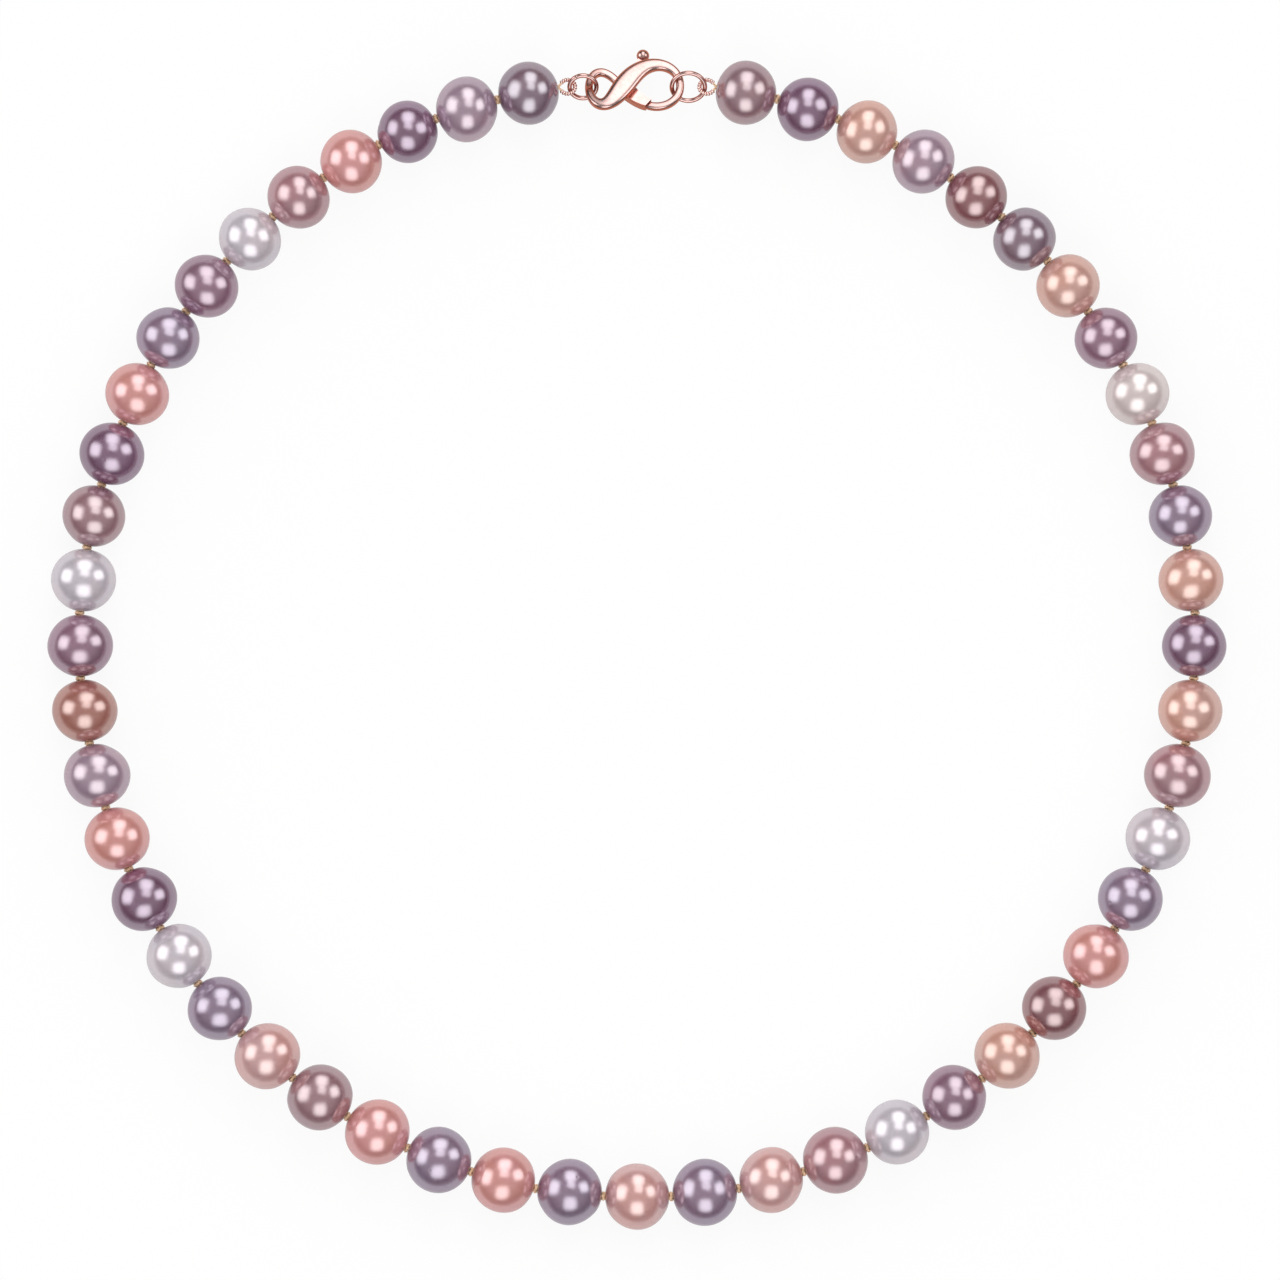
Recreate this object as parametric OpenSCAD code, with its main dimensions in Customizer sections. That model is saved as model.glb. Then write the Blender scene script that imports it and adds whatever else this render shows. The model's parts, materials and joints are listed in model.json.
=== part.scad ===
// Princess length necklace of 51 knotted pearls with an infinity clasp.
// It lies in a round loop on the XY plane, with the clasp at +Y. Millimetres, +Z up.
// The origin is the middle of the loop, on the table.

/* [Pearls] */
// Pearl at the front of the strand, measured across its drill hole
front_across = 8.65; // [7:0.05:9]
// Front pearl, measured along its drill hole
front_along = 8.38; // [7:0.05:9]
// Pearl beside the clasp, measured across its drill hole
back_across = 8.35; // [7:0.05:9]
// Pearl beside the clasp, measured along its drill hole
back_along = 7.90; // [7:0.05:9]
// Most that a pearl's size strays from the even taper
pearl_stray = 0.08; // [0:0.01:0.15]
// Drill hole of a pearl
bore_d = 0.9; // [0.8:0.05:1.1]

/* [Silk] */
// Silk thread
thread_d = 0.36; // [0.25:0.01:0.4]
// Width of a knot
knot_d = 1.2; // [1:0.05:1.4]
// Space for a knot between two front pearls
front_gap = 0.42; // [0.4:0.02:0.7]
// Space for a knot between two pearls beside the clasp
back_gap = 0.38; // [0.34:0.02:0.7]

/* [Gimp and rings] */
// Coiled French wire tube over the end loops of the thread
gimp_d = 0.7; // [0.65:0.01:0.74]
// Fine wire that the tube is coiled from
gimp_wire = 0.17; // [0.12:0.01:0.17]
// Turns of that wire on each loop
gimp_turns = 19; // [12:1:19]
// Centre line radius of a gimp loop
gimp_r = 0.98; // [0.94:0.01:1.1]
// Wire of the jump rings
ring_wire = 0.6; // [0.5:0.02:0.62]
// Jump ring on the eye of the clasp, over its wire
ring_left_d = 4.1; // [3.9:0.05:4.6]
// Jump ring on the hook of the clasp, over its wire
ring_right_d = 4.9; // [4.5:0.05:5.4]
// How far the two jump rings are turned out of the table plane
ring_tilt = 33; // [28:1:38]

/* [Clasp] */
// Length of the figure of eight, between the centre lines at its two ends
eight_l = 11.86; // [11.4:0.05:12.5]
// Height of the figure of eight, between centre lines
eight_h = 5.6; // [5.2:0.05:6]
// How much longer the hook loop is than the eye loop
eight_bias = 2.34; // [2:0.02:2.6]
// Width of the band where it crosses over the front
band_mid_w = 2.8; // [2.4:0.05:3]
// Width of the band at the eye and at the hook
band_end_w = 1.05; // [0.9:0.05:1.15]
// Depth of the band at the crossing
band_mid_t = 1.25; // [1.1:0.05:1.4]
// Depth of the band at the eye and at the hook
band_end_t = 1.15; // [1:0.05:1.25]
// Depth of the narrow strand behind the crossing
back_t = 0.9; // [0.8:0.05:1]
// Pivot pin of the lever
pin_d = 0.7; // [0.6:0.05:0.8]
// Thickness of the lever between the two strands
lever_t = 0.5; // [0.4:0.02:0.56]
// Length of the gate, from the pin to its tip
gate_l = 3.85; // [3.7:0.05:4]
// Width of the gate at its tip
gate_tip_w = 1.05; // [0.9:0.05:1.2]
// Width of the gate where it comes out from under the band
gate_root_w = 1.9; // [1.6:0.05:2]
// Thumb ball of the lever
knob_d = 1.65; // [1.5:0.05:1.7]
// Distance of the thumb ball from the pin
knob_reach = 5.35; // [5.2:0.05:5.6]
// How far the clasp is turned about the line of pull
clasp_tilt = 32; // [28:1:35]
// How far the gate swings inwards
gate_swing = 26; // [20:1:28]

/* [Hidden] */
pearl_count = 51;
middle = (pearl_count + 1) / 2;
stray_turn = 137.5;            // turns the stray of each pearl on from the last
clear_fit = 0.04;              // between parts that turn on each other
clear_run = 0.08;              // between parts that swing past each other
touch = 0.02;                  // between parts that lie against each other
eye_play = 0.16;               // slack between the left jump ring and the eye
hook_play = 0.26;              // slack between the right jump ring and the hook
gimp_play = 0.06;              // slack between a jump ring and its gimp loop
$fn = 48;

function sum(list, i = 0) = i < len(list) ? list[i] + sum(list, i + 1) : 0;
function unit(v) = v / norm(v);

// ---- sizes of each pearl, from the clasp (1) round the front (middle) to the clasp again ----
function grade(k) = (1 + cos(180 * abs(k - middle) / (middle - 1))) / 2;
function stray(k) = pearl_stray * sin(stray_turn * abs(k - middle));
function across(k) = back_across + (front_across - back_across) * grade(k) + stray(k);
function along(k) = back_along + (front_along - back_along) * grade(k) + stray(k);
function gap(k) = back_gap + (front_gap - back_gap) * grade(k);
function link(k) = along(k) + gap(k);

// ---- line of pull, from the last pearl on the left through the clasp to the right ----
bore_z = across(1) / 2;
gimp_reach = sqrt(pow(gimp_r + gimp_d / 2, 2) - pow(gimp_d, 2)) + clear_run - gap(1) / 2;
gimp_hold = gimp_reach + gimp_r - gimp_d / 2 - ring_wire / 2 - gimp_play;
gimp_gap = asin((gimp_d / 2 + touch) / gimp_r);     // half angle of the gap at the pearl
gimp_tilt = -22;                                    // loops lean the other way from the rings
ring_left_r = (ring_left_d - ring_wire) / 2;
ring_right_r = (ring_right_d - ring_wire) / 2;
eye_inset = band_end_w / 2 + ring_wire / 2 + eye_play;     // ring wire inside the end of the eye
hook_inset = band_end_w / 2 + ring_wire / 2 + hook_play;   // ring wire inside the end of the hook
clasp_hold_l = eight_l - eye_inset - hook_inset;
pull_l = 2 * gimp_hold + 2 * ring_left_r + clasp_hold_l + 2 * ring_right_r;

// ---- the loop: every knot lies on one circle, whose radius closes it ----
link_l = [for (k = [1:pearl_count]) link(k)];
function span_angle(l, r) = 2 * asin(l / (2 * r));
function turn(r) = sum([for (l = link_l) span_angle(l, r)]) + span_angle(pull_l, r);
function close_r(low, high, n) = n == 0 ? (low + high) / 2
    : turn((low + high) / 2) > 360 ? close_r((low + high) / 2, high, n - 1)
    : close_r(low, (low + high) / 2, n - 1);
loop_r = close_r(sum(link_l) / 8, sum(link_l), 40);
start_angle = 90 + span_angle(pull_l, loop_r) / 2;
link_turn = [for (l = link_l) span_angle(l, loop_r)];
function angle_after(k, a) = a + (k < pearl_count ? link_turn[k] : 0);
knot_angle = [for (k = 0, a = start_angle; k <= pearl_count; a = angle_after(k, a), k = k + 1) a];
pull_y = loop_r * cos(span_angle(pull_l, loop_r) / 2);

function pearl_angle(k) = (knot_angle[k - 1] + knot_angle[k]) / 2;
function pearl_r(k) = loop_r * cos(link_turn[k - 1] / 2);
function pearl_at(k) = [pearl_r(k) * cos(pearl_angle(k)), pearl_r(k) * sin(pearl_angle(k)), across(k) / 2];
function knot_z(k) = (across(max(k, 1)) + across(min(k + 1, pearl_count))) / 4;
function knot_at(k) = [loop_r * cos(knot_angle[k]), loop_r * sin(knot_angle[k]), knot_z(k)];

// ---- colours ----
shades = [
    ["white", [0.93, 0.91, 0.90]], ["cream", [0.93, 0.88, 0.82]], ["peach", [0.93, 0.76, 0.68]],
    ["coral", [0.90, 0.62, 0.54]], ["rose", [0.70, 0.47, 0.49]], ["taupe", [0.60, 0.49, 0.50]],
    ["lavender", [0.74, 0.67, 0.77]], ["mauve", [0.60, 0.48, 0.58]], ["plum", [0.45, 0.32, 0.43]],
];
// shade of each pearl, from the left of the clasp round the front
strand = [
    "lavender", "lavender", "plum", "coral", "rose", "white", "mauve", "lavender", "coral", "plum",
    "taupe", "white", "plum", "rose", "lavender", "coral", "mauve", "white", "lavender", "peach",
    "taupe", "coral", "mauve", "coral", "plum", "peach", "lavender", "peach", "rose", "white",
    "mauve", "peach", "rose", "coral", "mauve", "white", "plum", "peach", "mauve", "coral",
    "lavender", "taupe", "cream", "mauve", "peach", "taupe", "plum", "lavender", "peach", "plum", "taupe",
];
function shade(k) = shades[search([strand[k - 1]], shades)[0]][1];
gold = [0.86, 0.58, 0.46];
silk = [0.87, 0.80, 0.72];
steel = [0.75, 0.75, 0.76];

function pearl_name(k) = str("pearl_", k < 10 ? "0" : "", k);

// ---- tube along a list of [x, y, z, radius] ----
function tangent(p, i) = unit(at(p, min(i + 1, len(p) - 1)) - at(p, max(i - 1, 0)));
function at(p, i) = [p[i][0], p[i][1], p[i][2]];
function ring_points(p, i, sides) =
    let (t = tangent(p, i), side = unit(cross([0, 0, 1], t)), up = cross(t, side))
    [for (j = [0:sides - 1]) at(p, i) + p[i][3] * (cos(360 * j / sides) * side + sin(360 * j / sides) * up)];
function tube_faces(rings, sides) = concat(
    [[for (j = [0:sides - 1]) j]],
    [for (i = [0:rings - 2], j = [0:sides - 1])
        [i * sides + j, (i + 1) * sides + j, i * sides + (j + 1) % sides]],
    [for (i = [0:rings - 2], j = [0:sides - 1])
        [i * sides + (j + 1) % sides, (i + 1) * sides + j, (i + 1) * sides + (j + 1) % sides]],
    [[for (j = [sides - 1:-1:0]) (rings - 1) * sides + j]]);
module tube(p, sides) {
    polyhedron([for (i = [0:len(p) - 1]) each ring_points(p, i, sides)], tube_faces(len(p), sides));
}

// ---- one pearl: an oblate ball drilled along its short axis ----
module pearl(k) {
    color(shade(k)) translate(pearl_at(k)) rotate([0, 90, pearl_angle(k) + 90]) difference() {
        scale([1, 1, along(k) / across(k)]) sphere(d = across(k));
        cylinder(d = bore_d, h = across(k), center = true);
    }
}

// ---- end loops: a point on the loop at angle a, and its frame at each end of the strand ----
// side is -1 at the left of the clasp and 1 at the right
function loop_point(side, a, r = gimp_r) =
    let (x = gimp_reach + r * cos(a), y = r * sin(a))
    [-side * x + side * pull_l / 2, pull_y + y * cos(gimp_tilt), bore_z + y * sin(gimp_tilt)];
// the fine wire winds round the loop's centre line
function gimp_point(side, s) =
    let (a = -180 + gimp_gap + s * (360 - 2 * gimp_gap), w = 360 * gimp_turns * s,
         r = gimp_d / 2 - gimp_wire / 2, flat = gimp_r + r * cos(w), lift = r * sin(w),
         p = loop_point(side, a, flat))
    [p[0], p[1] - lift * sin(gimp_tilt), p[2] + lift * cos(gimp_tilt), gimp_wire / 2];
gimp_steps = 8;                // rings on each turn of the fine wire
module gimp(side) {
    last = gimp_turns * gimp_steps;
    trim = 0.5 / gimp_turns;   // half a turn is left off at each end, clear of the other end
    color(gold) tube([for (i = [0:last]) gimp_point(side, trim + (1 - 2 * trim) * i / last)], 6);
}

// ---- silk: one thread from loop to loop, with a knot after every pearl ----
thread_in_gimp = min(thread_d, gimp_d - 2 * gimp_wire - 2 * touch);
loop_steps = 16;
function loop_thread(side) = [for (i = [0:loop_steps])
    concat(loop_point(side, (180 - gimp_gap) * (1 - 2 * i / loop_steps)), [thread_in_gimp / 2])];
// the leg of a loop that goes on through the bore of the end pearl
function leg_point(from, to, depth) =
    let (p = knot_at(from) + depth * unit(knot_at(to) - knot_at(from))) concat(p, [thread_in_gimp / 2]);
leg_depth = [0.4, 1];
function knot_rings(k) =
    let (p = knot_at(k), t = [-sin(knot_angle[k]), cos(knot_angle[k]), 0],
         h = (gap(k) + gap(k + 1)) / 4 - touch)
    [for (s = [[-1, thread_d], [-0.6, 0.84 * knot_d], [0, knot_d], [0.6, 0.84 * knot_d], [1, thread_d]])
        concat(p + s[0] * h * t, [s[1] / 2])];
thread_path = concat(
    loop_thread(-1),
    [for (d = leg_depth) leg_point(0, 1, d)],
    [for (k = [1:pearl_count - 1]) each knot_rings(k)],
    [for (i = [1, 0]) leg_point(pearl_count, pearl_count - 1, leg_depth[i])],
    [for (i = [loop_steps:-1:0]) loop_thread(1)[i]]);
module silk_thread() {
    color(silk) tube(thread_path, 8);
}

// ---- jump rings ----
module jump_ring(side, r) {
    color(gold) translate([side * (pull_l / 2 - gimp_hold - r), pull_y, bore_z]) rotate([ring_tilt, 0, 0])
        rotate_extrude() translate([r, 0]) circle(d = ring_wire, $fn = 24);
}

// ---- clasp: its own frame has the crossing of the eight at the origin ----
eight_turn = 3;                                      // the eight is turned this much in its frame
crossing_x = -pull_l / 2 + gimp_hold + 2 * ring_left_r - eye_inset + (eight_l - eight_bias) / 2;
crossing_sink = 0.1;                                 // the crossing lies this much below the line of pull
function eight_x(t) = (eight_l / 2 + eight_bias / 2 * cos(t)) * cos(t) / (1 + pow(sin(t), 2));
function eight_y(t) = eight_h * sqrt(2) * sin(t) * cos(t) / (1 + pow(sin(t), 2));
function level(s) = sign(s) * pow(abs(s), 0.6);
front_z = lever_t / 2 + clear_run + band_mid_t / 2;  // middle of the band over the crossing
back_z = -lever_t / 2 - clear_run - back_t / 2;      // middle of the strand behind it
function eight_z(t) = sin(t) > 0 ? front_z * level(sin(t)) : -back_z * level(sin(t));
function band_w(t) = band_end_w + (band_mid_w - band_end_w) * pow(max(0, sin(t)), 2);
function band_t(t) = sin(t) > 0 ? band_end_t + (band_mid_t - band_end_t) * sin(t)
    : band_end_t + (band_end_t - back_t) * sin(t);
function eight(t) = [cos(eight_turn) * eight_x(t) - sin(eight_turn) * eight_y(t),
    sin(eight_turn) * eight_x(t) + cos(eight_turn) * eight_y(t), eight_z(t)];
function flat(v) = [v[0], v[1], 0];
function eight_side(t) = let (d = unit(flat(eight(t + 1) - eight(t - 1)))) [-d[1], d[0], 0];

hook_tip = -50;                // the band runs from the hook's tip over the front to the pin
band_end = 288;
band_step = 4;
band_sides = 16;
// rounded outline of the band: nearly flat faces and well rounded edges
function round_box(a) = [sign(cos(a)) * pow(abs(cos(a)), 0.6), sign(sin(a)) * pow(abs(sin(a)), 0.75)];
function end_taper(t) = t > hook_tip + band_step / 2 && t < band_end - band_step / 2 ? 1 : 0.75;
function band_ring(t) = let (n = eight_side(t), w = band_w(t) / 2 * end_taper(t), h = band_t(t) / 2)
    [for (j = [0:band_sides - 1]) let (q = round_box(360 * (j + 0.5) / band_sides))
        eight(t) + w * q[0] * n + [0, 0, h * q[1]]];
module band() {
    stations = [for (t = [hook_tip:band_step:band_end]) t];
    polyhedron([for (t = stations) each band_ring(t)], tube_faces(len(stations), band_sides));
}

gate_angle = -39;              // direction of the gate's tip from the pin, at rest
knob_angle = 65;               // direction of the thumb ball from the pin, at rest
hub_d = 2.2;                   // round end of the lever on the pin
arm_w = 0.8;
gate_low = -lever_t / 2 - clear_run - back_t + 0.15;   // the gate fills the depth of the hook
module sector(r0, r1, a0, a1) {
    steps = 10;
    polygon(concat([for (i = [0:steps]) let (a = a0 + (a1 - a0) * i / steps) r1 * [cos(a), sin(a)]],
        [for (i = [steps:-1:0]) let (a = a0 + (a1 - a0) * i / steps) r0 * [cos(a), sin(a)]]));
}
// room for the lever between the strands, over its whole swing
module lever_room() {
    h = lever_t + 2 * clear_run;
    half_gate = asin(gate_root_w / 2 / gate_l) + 2;
    half_knob = asin(knob_d / 2 / knob_reach) + 1;
    translate([0, 0, -h / 2]) linear_extrude(h) circle(d = hub_d + 2 * clear_run);
    translate([0, 0, gate_low - clear_run]) linear_extrude(lever_t / 2 + clear_run * 2 - gate_low)
        sector(hub_d / 2, gate_l + clear_run, gate_angle - half_gate - 26,
            gate_angle + half_gate + gate_swing);
    translate([0, 0, -h / 2]) linear_extrude(h)
        sector(0, knob_reach, knob_angle - half_knob, knob_angle + gate_swing + half_knob);
    translate([0, 0, -knob_d / 2 - clear_run]) linear_extrude(knob_d + 2 * clear_run)
        sector(knob_reach - knob_d / 2 - clear_run, knob_reach + knob_d, knob_angle - half_knob,
            knob_angle + gate_swing + half_knob);
}
// puts a part of the clasp in its place on the line of pull
module clasp_place() {
    translate([crossing_x, pull_y, bore_z]) rotate([-clasp_tilt, 0, 0])
        translate([0, -crossing_sink, 0]) children();
}
post_d = 0.4;
post_angle = 186;              // direction of the spring's post from the pin
spring_r = hub_d / 2 + clear_run + post_d / 2;
spring_t = 0.14;
spring_w = 0.4;
module spring_post() {
    rotate(post_angle) translate([spring_r, 0, -spring_w / 2])
        cylinder(d = post_d, h = spring_w / 2 + front_z, $fn = 24);
}
module clasp_body() {
    color(gold) clasp_place() difference() {
        union() {
            difference() {
                band();
                lever_room();
            }
            spring_post();
        }
        cylinder(d = pin_d + touch, h = 8, center = true, $fn = 32);
    }
}
module clasp_pivot_pin() {
    top = front_z + band_mid_t / 2;
    bottom = back_z - back_t / 2;
    color(gold) clasp_place() translate([0, 0, bottom]) cylinder(d = pin_d, h = top - bottom, $fn = 32);
}
// the gate follows the eight and narrows from the pin to its tip
gate_from = 276;
gate_to = 318;
function gate_edge(t, way) =
    let (s = (t - gate_from) / (gate_to - gate_from), w = gate_root_w + (gate_tip_w - gate_root_w) * s,
         p = eight(t) + way * w / 2 * eight_side(t))
    [p[0], p[1]];
module gate_outline() {
    intersection() {
        polygon(concat([for (t = [gate_from:3:gate_to]) gate_edge(t, 1)],
            [for (t = [gate_to:-3:gate_from]) gate_edge(t, -1)]));
        circle(r = gate_l, $fn = 96);
    }
}
module clasp_lever() {
    color(gold) clasp_place() difference() {
        union() {
            translate([0, 0, -lever_t / 2]) linear_extrude(lever_t) circle(d = hub_d);
            translate([0, 0, -lever_t / 2]) linear_extrude(lever_t) gate_outline();
            translate([0, 0, gate_low]) linear_extrude(lever_t / 2 - gate_low) difference() {
                gate_outline();
                circle(d = hub_d + 4 * clear_run);
            }
            translate([0, 0, -lever_t / 2]) linear_extrude(lever_t) rotate(knob_angle)
                translate([0, -arm_w / 2]) square([knob_reach, arm_w]);
            rotate(knob_angle) translate([knob_reach, 0, 0]) sphere(d = knob_d);
        }
        cylinder(d = pin_d + 2 * clear_fit, h = 8, center = true, $fn = 32);
    }
}
// a leaf bent round the hub, between the lever's arm and a post under the band
module clasp_spring() {
    arm_side = asin(arm_w / 2 / spring_r);
    post_side = asin(post_d / 2 / spring_r);
    seat = 1;
    color(steel) clasp_place() translate([0, 0, -spring_w / 2]) linear_extrude(spring_w)
        sector(spring_r - spring_t / 2, spring_r + spring_t / 2, knob_angle + arm_side + seat,
            post_angle - post_side - seat);
}

for (k = [1:pearl_count]) pearl(k);
silk_thread();
gimp(-1);  // gimp_left
gimp(1);  // gimp_right
jump_ring(-1, ring_left_r);  // jump_ring_left
jump_ring(1, ring_right_r);  // jump_ring_right
clasp_body();
clasp_lever();
clasp_pivot_pin();
clasp_spring();
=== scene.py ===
"""Pearl necklace: knotted freshwater pearls of many shades, closed by an infinity clasp in rose gold.

Every shape below is worked out in millimetres in the frame of the CAD model and is put in metres into its mesh.
"""
import json
import logging
from dataclasses import dataclass, field, replace
from enum import Enum

import bpy
import numpy as np
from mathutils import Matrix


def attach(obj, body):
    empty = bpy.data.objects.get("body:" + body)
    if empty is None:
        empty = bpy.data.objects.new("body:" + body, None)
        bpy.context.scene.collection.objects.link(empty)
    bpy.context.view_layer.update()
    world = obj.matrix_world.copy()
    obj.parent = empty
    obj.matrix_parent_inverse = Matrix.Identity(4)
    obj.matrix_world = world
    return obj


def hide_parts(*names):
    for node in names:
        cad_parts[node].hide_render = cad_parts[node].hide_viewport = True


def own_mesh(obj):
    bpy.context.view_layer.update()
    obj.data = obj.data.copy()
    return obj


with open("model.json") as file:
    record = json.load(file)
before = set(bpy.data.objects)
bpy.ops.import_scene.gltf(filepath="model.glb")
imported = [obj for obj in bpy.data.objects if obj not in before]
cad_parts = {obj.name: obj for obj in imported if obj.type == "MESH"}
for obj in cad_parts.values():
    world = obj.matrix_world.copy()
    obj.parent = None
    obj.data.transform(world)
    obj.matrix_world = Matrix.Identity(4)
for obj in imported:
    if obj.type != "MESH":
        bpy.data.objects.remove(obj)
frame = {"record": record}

LOG = logging.getLogger("necklace")
MM = 0.001
TURN = 2.0 * np.pi
UP = np.array([0.0, 0.0, 1.0])
SIDES = ((-1, "left"), (1, "right"))
WHITE = (1.0, 1.0, 1.0, 1.0)
Triple = tuple[float, float, float]
Colour = Triple


# ---------------------------------------------------------------- surfaces


@dataclass
class Patch:
    """A closed piece of surface.

    Attributes:
        points: Its points in millimetres.
        corners: The point at each corner of each face, face after face.
        sizes: How many corners each face has.
        uv: A UV pair for each corner.
    """

    points: np.ndarray
    corners: np.ndarray
    sizes: np.ndarray
    uv: np.ndarray

    def volume(self) -> float:
        """Signed volume: the sum over each face's triangle fan of the triple product of its corners, over six."""
        total = 0.0
        starts = starts_of(self.sizes)
        for size in np.unique(self.sizes):
            face = starts[self.sizes == size]
            first = self.points[self.corners[face]]
            for step in range(1, size - 1):
                second = self.points[self.corners[face + step]]
                third = self.points[self.corners[face + step + 1]]
                total += float(np.einsum("ij,ij->", first, np.cross(second, third))) / 6.0
        return total

    def outward(self) -> "Patch":
        """The same surface with its faces pointing outwards, each face's corners reversed if need be."""
        if self.volume() >= 0.0:
            return self
        starts = starts_of(self.sizes)
        step = np.arange(len(self.corners)) - np.repeat(starts, self.sizes)
        back = np.repeat(starts + self.sizes - 1, self.sizes) - step
        return Patch(self.points, self.corners[back], self.sizes, self.uv[back])


def starts_of(sizes: np.ndarray) -> np.ndarray:
    """Place of each face's first corner in the list of corners: the sum of the sizes before it."""
    return np.cumsum(sizes) - sizes


def unit(vectors: np.ndarray) -> np.ndarray:
    """Each vector divided by its length."""
    return vectors / np.linalg.norm(vectors, axis=-1, keepdims=True)


def full_turn(count: int) -> np.ndarray:
    """Angles of a number of even steps round a circle, from 0."""
    return TURN * np.arange(count) / count


def rim(angle: np.ndarray, radius: float = 1.0) -> np.ndarray:
    """Points of a circle about the origin: radius * (cos angle, sin angle)."""
    return radius * np.stack([np.cos(angle), np.sin(angle)], axis=-1)


def turned(first: np.ndarray, second: np.ndarray, angle: float) -> tuple[np.ndarray, np.ndarray]:
    """Two coordinates turned by an angle in radians: (x cos - y sin, x sin + y cos)."""
    return first * np.cos(angle) - second * np.sin(angle), first * np.sin(angle) + second * np.cos(angle)


def lathe(reaches: np.ndarray, places: np.ndarray, sides: int) -> np.ndarray:
    """Rows of points of a shape turned about the z axis: each row is a circle of one reach at one height."""
    circle = reaches[:, None, None] * rim(full_turn(sides))
    return np.concatenate([circle, np.broadcast_to(places[:, None, None], (len(places), sides, 1))], axis=-1)


def grid_patch(points: np.ndarray, ring: bool, along: np.ndarray) -> Patch:
    """Quads over a grid of points whose columns always close into rings.

    Args:
        points: Array of rows, columns and xyz.
        ring: Whether the last row joins the first. If not, both open ends get a flat cap.
        along: UV value of each row, with one more at the end where the rows join.

    Returns:
        The patch, turned outwards. Its other UV value goes from 0 to 1 round each row.
    """
    rows, cols = points.shape[:2]
    across = np.arange(cols + 1) / cols
    i, j = np.meshgrid(np.arange(rows if ring else rows - 1), np.arange(cols), indexing="ij")
    below, right = (i + 1) % rows, (j + 1) % cols
    quads = np.stack([i * cols + j, below * cols + j, below * cols + right, i * cols + right], axis=-1).reshape(-1)
    uv = np.stack([np.stack([across[j + a], along[i + b]], -1) for a, b in ((0, 0), (0, 1), (1, 1), (1, 0))], axis=-2)
    corners, sizes, uv = [quads], [np.full(i.size, 4)], [uv.reshape(-1, 2)]
    if not ring:
        first, last = np.arange(cols)[::-1], (rows - 1) * cols + np.arange(cols)
        for cap, height in ((last, along[rows - 1]), (first, along[0])):
            corners.append(cap)
            sizes.append(np.array([cols]))
            uv.append(np.stack([across[cap % cols], np.full(cols, height)], -1))
    return Patch(points.reshape(-1, 3), np.concatenate(corners), np.concatenate(sizes),
                 np.concatenate(uv)).outward()


@dataclass(frozen=True)
class Twist:
    """How the outline of a tube is lobed.

    Attributes:
        lobes: Lobes round the outline.
        depth: Their depth as a share of the radius.
        pitch: Turns that they make in a millimetre.
    """

    lobes: int = 0
    depth: float = 0.0
    pitch: float = 0.0


def tube_patch(path: np.ndarray, normal: np.ndarray, radius: np.ndarray | float, sides: int,
               ring: bool = False, twist: Twist = Twist()) -> Patch:
    """A tube: at each point of the path a ring stands square to the path's direction.

    The ring's radius is r * (1 + depth * cos(lobes * (angle - 2 pi * pitch * length))), so that its lobes wind like
    plied yarn.

    Args:
        path: Points of the centre line.
        normal: A direction at each point that is not along the path; the ring's angle starts from it.
        radius: Radius of the tube, one number or one per point.
        sides: Points round each ring.
        ring: Whether the path closes on itself.
        twist: Lobes of the outline.

    Returns:
        The closed tube.
    """
    before = np.roll(path, 1, axis=0) if ring else np.vstack([2 * path[0] - path[1], path[:-1]])
    after = np.roll(path, -1, axis=0) if ring else np.vstack([path[1:], 2 * path[-1] - path[-2]])
    ahead = unit(after - before)
    first = unit(normal - ahead * np.sum(normal * ahead, axis=1, keepdims=True))
    second = np.cross(ahead, first)
    steps = np.linalg.norm(np.diff(path, axis=0, append=path[:1] if ring else path[-1:]), axis=1)
    length = np.concatenate([[0.0], np.cumsum(steps)])
    angle = full_turn(sides)
    width = np.broadcast_to(np.asarray(radius, float), (len(path),))[:, None]
    turns = twist.pitch * length[:-1, None]
    if ring and twist.pitch:
        turns = turns * np.round(twist.pitch * length[-1]) / (twist.pitch * length[-1])
    lobed = width * (1.0 + twist.depth * np.cos(twist.lobes * (angle[None, :] - TURN * turns)))
    rings = path[:, None] + lobed[..., None] * (
        np.cos(angle)[None, :, None] * first[:, None] + np.sin(angle)[None, :, None] * second[:, None])
    return grid_patch(rings, ring, length)


def prism_patch(outline: np.ndarray, low: float, high: float) -> Patch:
    """A flat outline carried straight up from one height to another, with a cap at each end."""
    rows = np.stack([np.column_stack([outline, np.full(len(outline), z)]) for z in (low, high)])
    return grid_patch(rows, False, np.array([low, high]))


def ball_patch(centre: np.ndarray, radius: float, rings: int, sides: int, cap: float = 0.02) -> Patch:
    """A ball: rings of latitude from pole to pole, each pole a flat cap of that angle in radians."""
    tilt = np.linspace(cap, np.pi - cap, rings)
    return grid_patch(centre + radius * lathe(np.sin(tilt), np.cos(tilt), sides), False, tilt)


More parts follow.
